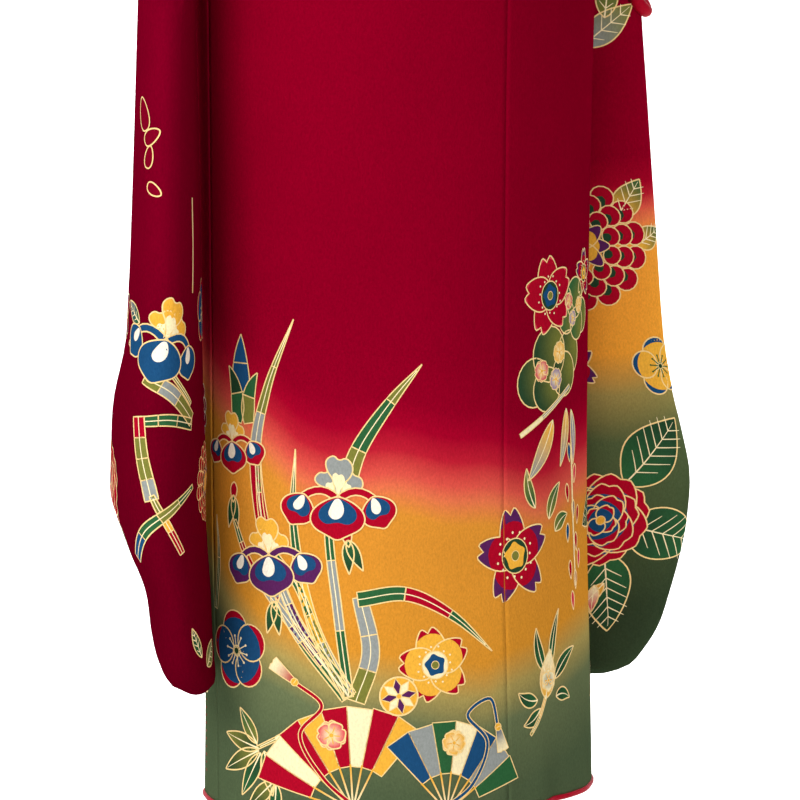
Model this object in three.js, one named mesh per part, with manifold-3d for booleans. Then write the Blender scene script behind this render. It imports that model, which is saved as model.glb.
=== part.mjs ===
// A long-sleeved furisode kimono in its worn form, hung from the shoulders.
// Millimetres, +Z up, front towards -Y, the wearer's left towards +X.
import * as THREE from "three";
import Module from "manifold-3d";
import { mergeVertices } from "three/addons/utils/BufferGeometryUtils.js";

const wasm = await Module();
wasm.setup();

const WALL = 2;
const SEAM_GAP = 0.4;
const COLLAR_GAP = 0.9;
const SHOULDER_HEIGHT = 1330;

// Cut of the cloth, measured round the body from the centre-back seam.
const BACK_WIDTH = 300;
const FRONT_SEAM = 545;
const OVERLAP_EDGE = 695;

// Heights above the hem.
const CHEST_Z = 1060;
const CROSSING_Z = 1140;
const TUCK_TOP_Z = 968;
const TUCK_HEM_Z = 872;
const TIE_Z = [1000, 1045];
const TIE_CLEAR = 2.6;

// Distance of each layer of cloth from the body form: at the back, on the
// right front and on the left front, which laps over the right.
const LAYERS = {
  back: [0, 5, 10],
  right: [-3, 12, 17],
  left: [3, 7.5, 27],
};
// The folds of the tuck nest: how far each reaches up and how far down.
const FOLD_REACH = {
  back: { up: 4, down: 4 },
  right: { up: 10, down: 3 },
  left: { up: 3, down: 12 },
};
const HEM_Z = 5;
// Shares of half the girth: where the fronts start and end their step apart,
// and how far round the overlap's free edge may reach.
const LAP_START = 0.476;
const LAP_FULL = 0.657;
const LAP_REACH = 1.32;

// Half width and half depth of the body form, and its shift to the back.
const FORM = [
  { z: 0, wide: 188, deep: 145.5, shift: 4 },
  { z: 90, wide: 187, deep: 144.5, shift: 3 },
  { z: 250, wide: 186.5, deep: 144, shift: -2 },
  { z: 450, wide: 188, deep: 145.5, shift: -3 },
  { z: 620, wide: 191, deep: 147, shift: -3 },
  { z: 760, wide: 194, deep: 149, shift: -3 },
  { z: 860, wide: 188, deep: 144, shift: -2 },
  { z: 985, wide: 160, deep: 121, shift: 0 },
  { z: 1060, wide: 160, deep: 120, shift: 0 },
  { z: 1150, wide: 162, deep: 112, shift: 0 },
];

// Soft ridges and troughs of the hanging cloth. Each has its place round the
// body, its half width, its height out of the cloth and where it fades out.
const FOLDS = [
  { at: -42, half: 13, out: 3.2, low: 0, high: 95 },
  { at: -66, half: 12, out: -3, low: 0, high: 80 },
  { at: -118, half: 22, out: 1.6, low: 0, high: 210 },
  { at: 60, half: 40, out: 1.4, low: 0, high: 160 },
  { at: 372, half: 26, out: 4.5, low: 0, high: 520 },
  { at: 432, half: 30, out: -3, low: 0, high: 430 },
  { at: -488, half: 32, out: 3.5, low: 0, high: 640 },
  { at: -420, half: 26, out: -2.2, low: 0, high: 420 },
  { at: -352, half: 30, out: 3, low: 0, high: 460 },
];

const NAPE = { x: 0, y: 84, z: 1300 };
const NECK = { x: 68, y: 8, z: 1322 };
const SHOULDER = { x: 214, y: -4, z: 1213.5 };

// Line of the armhole seam: its distance from the middle at each height.
const ARMHOLE = [
  { z: 1075, x: 190 },
  { z: 1110, x: 195 },
  { z: 1140, x: 200 },
  { z: 1182, x: 207 },
  { z: 1202, x: 212 },
];

// Free edge of the front cloth above the waist, as a share of the overlap.
const LAP_EDGE = [
  { z: 880, share: 1 },
  { z: 985, share: 0.95 },
  { z: 1060, share: 0.72 },
  { z: 1140, share: 0.04 },
];

// The collar stands out from its seam by these steps, from the crossing of
// the fronts at share 0 over the shoulder at share 1 to the nape at share 2.
const COLLAR = [
  { share: 0, x: -33, y: 3, z: 32 },
  { share: 0.25, x: -34, y: 8, z: 31 },
  { share: 0.5, x: -33, y: 2, z: 32 },
  { share: 0.75, x: -26, y: -8, z: 38 },
  { share: 1, x: -11, y: -4, z: 44 },
  { share: 1.5, x: 1, y: 5, z: 45 },
  { share: 2, x: 0, y: 12, z: 44 },
];
// The under front's half of the collar leans in this much further.
const UNDER_LEAN = 11;
const COLLAR_LOW_Z = 1050;
const COLLAR_SLANT = 32;

// Sleeve sections: centre, half length along the flat of the bag, half
// thickness and the turn of the flat away from the side.
const LEFT_SLEEVE = [
  { z: 112, x: 221, y: -16, long: 22, thin: 8, turn: 50 },
  { z: 120, x: 224, y: -18, long: 44, thin: 19, turn: 50 },
  { z: 141, x: 228, y: -22, long: 66, thin: 24, turn: 50 },
  { z: 165, x: 231, y: -24, long: 76, thin: 26, turn: 50 },
  { z: 205, x: 234, y: -26, long: 88, thin: 28, turn: 50 },
  { z: 242, x: 240, y: -32, long: 93, thin: 34, turn: 50 },
  { z: 284, x: 246, y: -37, long: 95, thin: 40, turn: 50 },
  { z: 311, x: 246, y: -37, long: 95, thin: 41, turn: 50 },
  { z: 369, x: 246, y: -37, long: 92, thin: 39, turn: 50 },
  { z: 422, x: 242, y: -34, long: 88, thin: 33, turn: 50 },
  { z: 474, x: 241, y: -33, long: 84, thin: 31, turn: 50 },
  { z: 571, x: 240, y: -32, long: 79, thin: 28.5, turn: 50 },
  { z: 721, x: 239, y: -31, long: 70, thin: 25, turn: 52 },
  { z: 860, x: 237, y: -26, long: 64, thin: 26, turn: 64 },
  { z: 980, x: 233, y: -16, long: 60, thin: 30, turn: 80 },
  { z: 1075, x: 226, y: -7, long: 60, thin: 38, turn: 90 },
  { z: 1140, x: 221, y: -5, long: 54, thin: 36, turn: 90 },
  { z: 1182, x: 217, y: -4, long: 40, thin: 27, turn: 90 },
  { z: 1202, x: 214, y: -4, long: 22, thin: 15, turn: 90 },
  { z: 1209, x: 213, y: -4, long: 8, thin: 6, turn: 90 },
];
const RIGHT_SLEEVE = [
  { z: 81, x: 241, y: -13, long: 16, thin: 8, turn: 50 },
  { z: 87, x: 241, y: -15, long: 36, thin: 17, turn: 50 },
  { z: 103, x: 241, y: -19, long: 54, thin: 22, turn: 50 },
  { z: 127, x: 241, y: -21, long: 70, thin: 25, turn: 50 },
  { z: 158, x: 241, y: -21, long: 80, thin: 28, turn: 50 },
  { z: 193, x: 241, y: -19, long: 88, thin: 32, turn: 50 },
  { z: 230, x: 241, y: -18, long: 94, thin: 36, turn: 50 },
  { z: 270, x: 241, y: -18, long: 96, thin: 38, turn: 50 },
  { z: 309, x: 241, y: -28, long: 95, thin: 38, turn: 50 },
  { z: 344, x: 241, y: -38, long: 93, thin: 36, turn: 50 },
  { z: 389, x: 240, y: -44, long: 90, thin: 33, turn: 50 },
  { z: 497, x: 240, y: -46, long: 83, thin: 30, turn: 50 },
  { z: 613, x: 240, y: -48, long: 76, thin: 28, turn: 50 },
  { z: 721, x: 239, y: -48, long: 70, thin: 26, turn: 52 },
  { z: 860, x: 237, y: -36, long: 64, thin: 26, turn: 64 },
  { z: 980, x: 233, y: -18, long: 60, thin: 30, turn: 80 },
  { z: 1075, x: 226, y: -7, long: 60, thin: 38, turn: 90 },
  { z: 1140, x: 221, y: -5, long: 54, thin: 36, turn: 90 },
  { z: 1182, x: 217, y: -4, long: 40, thin: 27, turn: 90 },
  { z: 1202, x: 214, y: -4, long: 22, thin: 15, turn: 90 },
  { z: 1209, x: 213, y: -4, long: 8, thin: 6, turn: 90 },
];
const OPEN_EDGE = { low: 20, high: 1010, half: 9 };
const CUFF = { low: 700, high: 880, half: 13 };

const ROLL_RADIUS = 2;

const COLOURS = {
  crimson: 0x8f0a26,
  wine: 0x6e0a1e,
  red: 0xc01428,
};

// ---------------------------------------------------------------- numbers

const clamp = (value, low, high) => Math.min(high, Math.max(low, value));
const mix = (a, b, t) => a + (b - a) * t;
const ease = (t) => {
  const c = clamp(t, 0, 1);
  return c * c * (3 - 2 * c);
};

// The row of a table at a height, smoothly between its neighbours.
function rowAt(table, z) {
  const last = table.length - 1;
  const height = clamp(z, table[0].z, table[last].z);
  let i = 0;
  while (i < last - 1 && table[i + 1].z < height) {
    i += 1;
  }
  const [a, b] = [table[i], table[i + 1]];
  const before = table[Math.max(0, i - 1)];
  const after = table[Math.min(last, i + 2)];
  const span = b.z - a.z;
  const t = (height - a.z) / span;
  const row = {};
  for (const name of Object.keys(a)) {
    const slopeA = ((b[name] - before[name]) / (b.z - before.z)) * span;
    const slopeB = ((after[name] - a[name]) / (after.z - a.z)) * span;
    row[name] = a[name] * (1 + 2 * t) * (1 - t) ** 2
      + slopeA * t * (1 - t) ** 2
      + b[name] * t * t * (3 - 2 * t)
      + slopeB * t * t * (t - 1);
  }
  return row;
}

// ------------------------------------------------------------- body form

const RING_STEPS = 240;
const ringCache = new Map();

// One level of the body form with its running length from the centre back.
function ringAt(z) {
  if (!ringCache.has(z)) {
    const { wide, deep, shift } = rowAt(FORM, z);
    const lengths = [0];
    for (let i = 1; i <= RING_STEPS; i += 1) {
      const angle = ((i - 0.5) / RING_STEPS) * 2 * Math.PI;
      const step = Math.hypot(wide * Math.cos(angle), deep * Math.sin(angle));
      lengths.push(lengths[i - 1] + (step * 2 * Math.PI) / RING_STEPS);
    }
    ringCache.set(z, { wide, deep, shift, lengths });
  }
  return ringCache.get(z);
}

const quarterGirth = (z) => ringAt(z).lengths[RING_STEPS / 4];

// How far the soft folds lift the cloth at a place round the body.
function foldLift(z, along) {
  const girth = 4 * quarterGirth(z);
  const place = along - girth * Math.round(along / girth);
  return FOLDS.reduce((sum, fold) => {
    const across = (place - fold.at) / fold.half;
    const fade = 1 - ease((z - fold.low) / (fold.high - fold.low));
    return sum + fold.out * Math.exp(-across * across) * fade;
  }, 0);
}

// A point at a signed distance round the body, positive to the wearer's left.
function formPoint(z, along, out) {
  const { wide, deep, shift, lengths } = ringAt(z);
  const distance = Math.abs(along);
  let i = 0;
  while (i < RING_STEPS - 1 && lengths[i + 1] < distance) {
    i += 1;
  }
  const t = (distance - lengths[i]) / (lengths[i + 1] - lengths[i]);
  const angle = ((i + t) / RING_STEPS) * 2 * Math.PI * Math.sign(along || 1);
  const normal = new THREE.Vector2(deep * Math.sin(angle), wide * Math.cos(angle)).normalize();
  const lift = out + foldLift(z, along);
  return new THREE.Vector3(
    wide * Math.sin(angle) + normal.x * lift,
    shift + deep * Math.cos(angle) + normal.y * lift,
    z,
  );
}

// How far the fronts have stepped apart at a place round the body.
function lapAt(z, along) {
  const share = Math.abs(along) / (2 * quarterGirth(z));
  return ease((share - LAP_START) / (LAP_FULL - LAP_START));
}

// Distance of a layer from the form.
function layerOut(weights, lap, side) {
  const front = LAYERS[side];
  return weights.reduce((sum, weight, i) => sum + weight * mix(LAYERS.back[i], front[i], lap), 0);
}

const taken = (z) => ease((z - 900) / (CHEST_Z - 900));
const sideSeam = (z) => mix(BACK_WIDTH, quarterGirth(z), taken(z));
const frontSeam = (z) => mix(FRONT_SEAM, 2 * quarterGirth(z), taken(z));
const lapEdge = (z) => Math.min(
  frontSeam(z) + (OVERLAP_EDGE - FRONT_SEAM) * rowAt(LAP_EDGE, z).share,
  LAP_REACH * 2 * quarterGirth(z),
);

// ------------------------------------------------------------- cloth rows

const fold = (z, up, down, from, to) => [0.2, 0.5, 0.8].map((t) => {
  const turn = Math.cos(Math.PI * t);
  const weights = [0, 0, 0];
  weights[from] = (1 + turn) / 2;
  weights[to] = (1 - turn) / 2;
  const bend = Math.sin(Math.PI * t);
  return { z, weights, up: up * bend, down: down * bend };
});
const level = (layer, ...heights) => heights.map((z) => {
  const weights = [0, 0, 0];
  weights[layer] = 1;
  return { z, weights, up: 0, down: 0 };
});

// The cloth from the hem, up inside the waist tuck, down and up again.
const RISE = [
  ...level(0, HEM_Z, 24, 50, 90, 150, 240, 340, 450, 560, 670, 770, 850, 910, TUCK_TOP_Z),
  ...fold(TUCK_TOP_Z, 1, 0, 0, 1),
  ...level(1, TUCK_TOP_Z, 915, TUCK_HEM_Z),
  ...fold(TUCK_HEM_Z, 0, 1, 1, 2),
  ...level(2, TUCK_HEM_Z, 910, 950, 985, 1022, CHEST_Z),
];

// Places cloth along a row, between two distances round the body.
const ringRow = (row, side, sign, from, to) => (p) => {
  const along = mix(from(row.z), to(row.z), p) * sign;
  const lap = lapAt(row.z, along);
  const [back, front] = [FOLD_REACH.back, FOLD_REACH[side]];
  const z = row.z + row.up * mix(back.up, front.up, lap) - row.down * mix(back.down, front.down, lap);
  return formPoint(z, along, layerOut(row.weights, lap, side));
};

// The share of a row at each column, with one spare beyond either edge that
// only guides the slope of the cloth there.
const SPARE = 0.01;
const sharesOf = (columns) => [
  -SPARE, ...Array.from({ length: columns + 1 }, (_, i) => i / columns), 1 + SPARE];

// ---------------------------------------------------------------- solids

// A solid from grids of points: rings round it, or layers of rows.
function solid(positions, faces) {
  const geometry = new THREE.BufferGeometry();
  const flat = positions.flatMap((point) => [point.x, point.y, point.z]);
  let volume = 0;
  for (const [a, b, c] of faces) {
    const normal = new THREE.Vector3().crossVectors(positions[b], positions[c]);
    volume += positions[a].dot(normal);
  }
  const ordered = volume < 0 ? faces.map(([a, b, c]) => [a, c, b]) : faces;
  geometry.setAttribute("position", new THREE.Float32BufferAttribute(flat, 3));
  geometry.setIndex(ordered.flat());
  return geometry;
}

// Splits a four-cornered patch along its shorter diagonal.
function patch(points, a, b, c, d) {
  const split = points[a].distanceTo(points[c]) <= points[b].distanceTo(points[d]);
  return split ? [[a, b, c], [a, c, d]] : [[a, b, d], [b, c, d]];
}

// A sheet of cloth about a grid of points. Each row's first and last points
// are spares.
function shell(rows, thickness = WALL) {
  const height = rows.length;
  const width = rows[0].length - 2;
  const layers = [[], []];
  rows.forEach((row, j) => row.slice(1, -1).forEach((point, i) => {
    const after = i === 0 ? point : row[i + 2];
    const before = i === width - 1 ? point : row[i];
    const across = new THREE.Vector3().subVectors(after, before);
    const up = new THREE.Vector3().subVectors(
      rows[Math.min(j + 1, height - 1)][i + 1], rows[Math.max(j - 1, 0)][i + 1]);
    const normal = across.cross(up).normalize().multiplyScalar(thickness / 2);
    layers[0].push(point.clone().add(normal));
    layers[1].push(point.clone().sub(normal));
  }));
  const points = [...layers[0], ...layers[1]];
  const under = width * height;
  const faces = [];
  for (let j = 0; j < height - 1; j += 1) {
    for (let i = 0; i < width - 1; i += 1) {
      const a = j * width + i;
      const corners = [a, a + 1, a + width + 1, a + width];
      faces.push(...patch(points, ...corners));
      faces.push(...patch(points, ...corners.map((k) => k + under).reverse()));
    }
  }
  const rim = [];
  for (let i = 0; i < width - 1; i += 1) rim.push(i);
  for (let j = 0; j < height - 1; j += 1) rim.push(j * width + width - 1);
  for (let i = width - 1; i > 0; i -= 1) rim.push((height - 1) * width + i);
  for (let j = height - 1; j > 0; j -= 1) rim.push(j * width);
  rim.forEach((a, k) => {
    const b = rim[(k + 1) % rim.length];
    faces.push(...patch(points, b, a, a + under, b + under));
  });
  return solid(points, faces);
}

// A solid through rings of points, with flat ends unless it runs in a loop.
function loft(rings, looped = false) {
  const count = rings[0].length;
  const points = rings.flat();
  const faces = [];
  const spans = looped ? rings.length : rings.length - 1;
  for (let j = 0; j < spans; j += 1) {
    const next = (j + 1) % rings.length;
    for (let i = 0; i < count; i += 1) {
      const k = (i + 1) % count;
      const corners = [j * count + i, j * count + k, next * count + k, next * count + i];
      faces.push(...patch(points, ...corners));
    }
  }
  if (!looped) {
    [0, rings.length - 1].forEach((j) => {
      const centre = rings[j].reduce((sum, point) => sum.add(point), new THREE.Vector3());
      points.push(centre.divideScalar(count));
      for (let i = 0; i < count; i += 1) {
        const edge = [j * count + i, j * count + ((i + 1) % count)];
        faces.push(j === 0 ? [points.length - 1, edge[1], edge[0]] : [points.length - 1, ...edge]);
      }
    });
  }
  return solid(points, faces);
}

function toManifold(geometry) {
  const bare = geometry.clone();
  bare.deleteAttribute("normal");
  bare.deleteAttribute("uv");
  const merged = mergeVertices(bare, 1e-4);
  return new wasm.Manifold(new wasm.Mesh({
    numProp: 3,
    vertProperties: new Float32Array(merged.attributes.position.array),
    triVerts: new Uint32Array(merged.index.array),
  }));
}

function fromManifold(body) {
  const { vertProperties, triVerts } = body.getMesh();
  const geometry = new THREE.BufferGeometry();
  geometry.setAttribute("position", new THREE.BufferAttribute(new Float32Array(vertProperties), 3));
  geometry.setIndex(new THREE.BufferAttribute(new Uint32Array(triVerts), 1));
  return geometry;
}

// ---------------------------------------------------------------- sleeves

// One section of a sleeve's bag, drawn in or out by an amount.
function sleeveRing(table, z, grow, count) {
  const { x, y, long, thin, turn } = rowAt(table, z);
  const angle = THREE.MathUtils.degToRad(turn);
  const flat = new THREE.Vector2(Math.cos(angle), Math.sin(angle));
  return Array.from({ length: count }, (_, i) => {
    const round = (i / count) * 2 * Math.PI;
    const reach = (long + grow) * Math.cos(round);
    const depth = (thin + grow) * Math.sin(round);
    return new THREE.Vector3(
      x + flat.x * reach - flat.y * depth, y + flat.y * reach + flat.x * depth, z);
  });
}

// The heights of a sleeve's sections, closest together at its round ends.
function sleeveLevels(table, inset) {
  const heights = [];
  table.forEach((row, i) => {
    heights.push(row.z);
    if (i > 0 && row.z - table[i - 1].z > 110) {
      heights.push((row.z + table[i - 1].z) / 2);
    }
  });
  heights.sort((a, b) => a - b);
  heights[0] += inset;
  heights[heights.length - 1] -= inset;
  return heights;
}

// A blade that opens the bag along one end of its flat.
function slitBlade(table, end, low, high, half) {
  const heights = [low, low + half, mix(low, high, 0.25), mix(low, high, 0.5),
    mix(low, high, 0.75), high - half, high];
  return loft(heights.map((z, j) => {
    const { x, y, long, turn } = rowAt(table, z);
    const angle = THREE.MathUtils.degToRad(turn);
    const flat = new THREE.Vector2(Math.cos(angle), Math.sin(angle));
    const width = j === 0 || j === heights.length - 1 ? half * 0.3 : half;
    return [[-16, -1], [18, -1], [18, 1], [-16, 1]].map(([reach, way]) => {
      const run = end * (long + reach);
      return new THREE.Vector3(
        x + flat.x * run - flat.y * width * way, y + flat.y * run + flat.x * width * way, z);
    });
  }));
}

// Everything inside the armhole line, where the sleeve is open to the body.
function armholeBlade() {
  const outline = [
    { x: 140, z: ARMHOLE[0].z }, ...ARMHOLE, { x: 213, z: 1240 }, { x: 140, z: 1240 }];
  return loft([90, -90].map((y) => outline.map(({ x, z }) => new THREE.Vector3(x, y, z))));
}

// A thin blade down the flat of the bag, between its inner and outer faces.
function partingBlade(table) {
  const heights = [table[0].z - 5, ...table.map(({ z }) => z), table.at(-1).z + 5];
  return loft(heights.map((z) => {
    const { x, y, long, turn } = rowAt(table, clamp(z, table[0].z, table.at(-1).z));
    const angle = THREE.MathUtils.degToRad(turn);
    const flat = new THREE.Vector2(Math.cos(angle), Math.sin(angle));
    return [[-1, -1], [1, -1], [1, 1], [-1, 1]].map(([end, way]) => {
      const run = end * (long + 12);
      const side = way * SEAM_GAP / 2;
      return new THREE.Vector3(x + flat.x * run - flat.y * side, y + flat.y * run + flat.x * side, z);
    });
  }));
}

// The inner and the outer face of a sleeve.
function sleeveFaces(table, sign) {
  const count = 24;
  const outer = loft(sleeveLevels(table, 0).map((z) => sleeveRing(table, z, 0, count)));
  const inner = loft(sleeveLevels(table, WALL).map((z) => sleeveRing(table, z, -WALL, count)));
  const low = table[0].z + OPEN_EDGE.low;
  const bag = toManifold(outer)
    .subtract(toManifold(inner))
    .subtract(toManifold(armholeBlade()))
    .subtract(toManifold(slitBlade(table, -1, low, OPEN_EDGE.high, OPEN_EDGE.half)))
    .subtract(toManifold(slitBlade(table, 1, CUFF.low, CUFF.high, CUFF.half)))
    .subtract(toManifold(partingBlade(table)));
  const turned = sign > 0 ? bag : bag.mirror([1, 0, 0]);
  return turned.decompose()
    .sort((a, b) => sign * (a.boundingBox().max[0] + a.boundingBox().min[0]
      - b.boundingBox().max[0] - b.boundingBox().min[0]))
    .map(fromManifold);
}

// The rolled edge of the lining round the wrist opening.
function cuffRoll(table, sign) {
  const radius = ROLL_RADIUS;
  const [low, high] = [CUFF.low + 4, CUFF.high - 4];
  const inset = CUFF.half - radius - 0.6;
  const stations = 26;
  const rings = Array.from({ length: stations }, (_, j) => {
    const turn = (j / stations) * 2 * Math.PI;
    const z = mix(low, high, (1 - Math.cos(turn)) / 2);
    const side = inset * Math.sign(Math.sin(turn)) * Math.min(1, Math.abs(Math.sin(turn)) * 2.4);
    const row = rowAt(table, z);
    const angle = THREE.MathUtils.degToRad(row.turn);
    const run = (row.long - WALL / 2) * Math.sqrt(1 - (side / (row.thin - WALL / 2)) ** 2);
    return { z, side, run, row, angle, turn };
  }).map(({ z, side, run, row, angle }) => new THREE.Vector3(
    sign * (row.x + Math.cos(angle) * run - Math.sin(angle) * side),
    row.y + Math.sin(angle) * run + Math.cos(angle) * side,
    z,
  ));
  return tube(rings, radius, 6, true);
}

// ---------------------------------------------------------- pieces of cloth

// A round cord through the given points.
function tube(path, radius, sides, looped = false) {
  const last = path.length - 1;
  const at = (j) => (looped ? path[(j + path.length) % path.length] : path[clamp(j, 0, last)]);
  return loft(path.map((point, j) => {
    const along = new THREE.Vector3().subVectors(at(j + 1), at(j - 1)).normalize();
    const outward = new THREE.Vector3(point.x, point.y, 0).normalize();
    const across = new THREE.Vector3().crossVectors(along, outward).normalize();
    const out = new THREE.Vector3().crossVectors(across, along).normalize();
    return Array.from({ length: sides }, (_, i) => {
      const turn = (i / sides) * 2 * Math.PI;
      return point.clone()
        .addScaledVector(across, radius * Math.cos(turn))
        .addScaledVector(out, radius * Math.sin(turn));
    });
  }), looped);
}

const vector = ({ x, y, z }) => new THREE.Vector3(x, y, z);

// The armhole edge, just clear of the head of the sleeve inside it.
function armholeEdge(face) {
  return ARMHOLE.map(({ x, z }) => {
    const { x: middle, y, long, thin } = rowAt(LEFT_SLEEVE, z);
    const depth = long * Math.sqrt(Math.max(0, 1 - ((x - middle) / thin) ** 2));
    return new THREE.Vector3(x - 0.8, y + face * (depth + WALL / 2 + 0.8), z);
  });
}

// The edge that the collar is sewn to, from the chest to the shoulder.
function neckEdge(side, face) {
  const chest = RISE[RISE.length - 1];
  const out = LAYERS[side][2];
  const start = face > 0
    ? ringRow(chest, side, 1, () => SEAM_GAP / 2, () => 0)(0)
    : ringRow(chest, side, 1, (z) => frontSeam(z) - SEAM_GAP / 2, () => 0)(0);
  const points = face > 0
    ? [start, { x: 0.2, y: 121, z: 1150 }, { x: 0.2, y: 103, z: 1240 }, NAPE,
      { x: 42, y: 64, z: 1308 }, { x: 64, y: 36, z: 1317 }, NECK]
    : [start, { x: 0.2, y: -111 - out, z: CROSSING_Z }, { x: 24, y: -100 - out * 0.7, z: 1190 },
      { x: 46, y: -74 - out * 0.3, z: 1240 }, { x: 62, y: -32, z: 1292 }, NECK];
  return new THREE.CatmullRomCurve3(points.map(vector), false, "centripetal");
}

// Where the rows lie between the chest at 0 and the shoulder at 1.
const SHOULDER_STEPS = [0.07, 0.14, 0.2, 0.3, 0.4, 0.5, 0.6, 0.7, 0.8, 0.88, 0.95];
const CROSSING_SHARE = 0.2;
const NAPE_SHARE = 0.5;

// Rows of cloth from the chest, over the back or front, up to the shoulder.
function shoulderRows(side, sign, face, shares) {
  const chest = RISE[RISE.length - 1];
  const inner = face > 0 ? () => SEAM_GAP / 2 : (z) => frontSeam(z) - SEAM_GAP / 2;
  const outer = (z) => sideSeam(z) - (face * SEAM_GAP) / 2;
  const base = ringRow(chest, side, 1, inner, outer);
  const [low, high] = [base(0), base(1)];
  const edge = [high, { x: 180, y: face * 8, z: 1068 }, ...armholeEdge(face), SHOULDER];
  const near = neckEdge(side, face);
  const far = new THREE.CatmullRomCurve3(edge.map(vector), false, "centripetal");
  return SHOULDER_STEPS.map((q) => {
    const [a, b] = [near.getPoint(q), far.getPoint(q)];
    const flatten = ease(q);
    return shares.map((p) => {
      const level = base(p);
      const wx = (level.x - low.x) / (high.x - low.x);
      const wy = (level.y - low.y) / (high.y - low.y);
      const run = Math.max(p, 0);
      return new THREE.Vector3(
        sign * mix(Math.max(a.x, 0.2), b.x, mix(wx, p, flatten)),
        mix(a.y, b.y, mix(wy, run ** 1.3, flatten)),
        mix(a.z, b.z, run ** 1.7),
      );
    });
  });
}

// One length of cloth from the back hem over the shoulder to the front hem.
function bodyPanel(side, sign) {
  const shares = sharesOf(10);
  const rise = (face) => {
    const inner = face > 0 ? () => SEAM_GAP / 2 : (z) => frontSeam(z) - SEAM_GAP / 2;
    const outer = (z) => sideSeam(z) - (face * SEAM_GAP) / 2;
    const rows = RISE.map((row) => shares.map(ringRow(row, side, sign, inner, outer)));
    return [...rows, ...shoulderRows(side, sign, face, shares)];
  };
  const top = shares.map((p) => new THREE.Vector3(
    sign * mix(NECK.x, SHOULDER.x, p),
    mix(NECK.y, SHOULDER.y, p),
    mix(NECK.z, SHOULDER.z, Math.max(p, 0) ** 1.7),
  ));
  return shell([...rise(1), top, ...rise(-1).reverse()]);
}

const OVERLAP_STEPS = [1086, 1112, 1134];

// The narrow length that widens each front and laps across.
function overlap(side, sign) {
  const rows = [...RISE, ...level(2, ...OVERLAP_STEPS)];
  const seam = (z) => frontSeam(z) + SEAM_GAP / 2;
  return shell(rows.map((row) => sharesOf(5).map(ringRow(row, side, sign, seam, lapEdge))));
}

// The lining's rolled edge along the hem of one length of cloth.
function hemRoll(side, sign, from, to, steps) {
  const [row] = level(0, ROLL_RADIUS + 0.3);
  const place = ringRow(row, side, sign, () => from + SEAM_GAP / 2, () => to - SEAM_GAP / 2);
  const path = Array.from({ length: steps + 1 }, (_, i) => place(i / steps));
  return tube(path, ROLL_RADIUS, 6);
}

// The collar band, from one front round the neck to the other.
function collar() {
  const half = (side, sign) => {
    const turned = ({ x, y, z }) => new THREE.Vector3(sign * x, y, z);
    const step = (share) => {
      const i = COLLAR.findIndex((row, k) => k > 0 && share <= row.share);
      const [a, b] = [COLLAR[i - 1], COLLAR[i]];
      const t = (share - a.share) / (b.share - a.share);
      const lean = side === "right" ? UNDER_LEAN * (1 - ease(share)) : 0;
      return new THREE.Vector3(mix(a.x, b.x, t), mix(a.y, b.y, t) + lean, mix(a.z, b.z, t));
    };
    const rising = [COLLAR_LOW_Z, CHEST_Z, ...OVERLAP_STEPS].map((z) => {
      const out = LAYERS[side][2];
      const reach = lapEdge(z) + COLLAR_GAP;
      const lean = side === "right" ? UNDER_LEAN * ease((z - CHEST_Z) / 80) : 0;
      return [0, 1 / 3, 2 / 3, 1].map((k) => formPoint(
        z + COLLAR_SLANT * k, sign * (reach + COLLAR_SLANT * k), out - lean * k));
    });
    const front = SHOULDER_STEPS.filter((q) => q > CROSSING_SHARE).map((q) => ({
      sewn: neckEdge(side, -1).getPoint(q),
      out: step((q - CROSSING_SHARE) / (1 - CROSSING_SHARE)),
    }));
    const back = [...SHOULDER_STEPS, 1].filter((q) => q >= NAPE_SHARE).reverse().map((q) => ({
      sewn: neckEdge(side, 1).getPoint(q),
      out: step(1 + (1 - q) / (1 - NAPE_SHARE)),
    }));
    const upper = [...front, ...back].map(({ sewn, out }) => {
      const lift = out.clone().normalize().multiplyScalar(WALL * 0.8);
      const start = sewn.clone().add(lift);
      return [0, 1 / 3, 2 / 3, 1].map((k) => turned(start.clone().addScaledVector(out, k)));
    });
    return [...rising, ...upper];
  };
  const spared = (row) => [
    row[0].clone().lerp(row[1], -SPARE), ...row, row[3].clone().lerp(row[2], -SPARE)];
  const [left, right] = [half("left", 1), half("right", -1)];
  return shell([...right, ...left.slice(0, -1).reverse()].map(spared));
}

// The flat tie that holds the wrap and the tuck at the waist.
function waistTie() {
  const steps = 44;
  const girth = 4 * quarterGirth(TIE_Z[0]);
  const rings = Array.from({ length: steps }, (_, i) => {
    const along = mix(-girth / 2, girth / 2, (i + 0.5) / steps);
    const reach = (Math.abs(along) - 188) / 76;
    const out = mix(LAYERS.back[2], LAYERS.left[2], ease(reach)) + TIE_CLEAR;
    const inner = TIE_Z.map((z) => formPoint(z, along, out));
    const outer = TIE_Z.map((z) => formPoint(z, along, out + WALL));
    return [inner[0], inner[1], outer[1], outer[0]];
  });
  return loft(rings, true);
}

// ---------------------------------------------------------------- assembly

const cloth = (colour) => new THREE.MeshStandardMaterial({
  color: colour, roughness: 0.72, metalness: 0, side: THREE.FrontSide });
const furisode = new THREE.Group();

function add(name, geometry, colour) {
  geometry.translate(0, 0, -SHOULDER_HEIGHT);
  geometry.computeVertexNormals();
  const mesh = new THREE.Mesh(geometry, cloth(colour));
  mesh.name = name;
  furisode.add(mesh);
}

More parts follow.
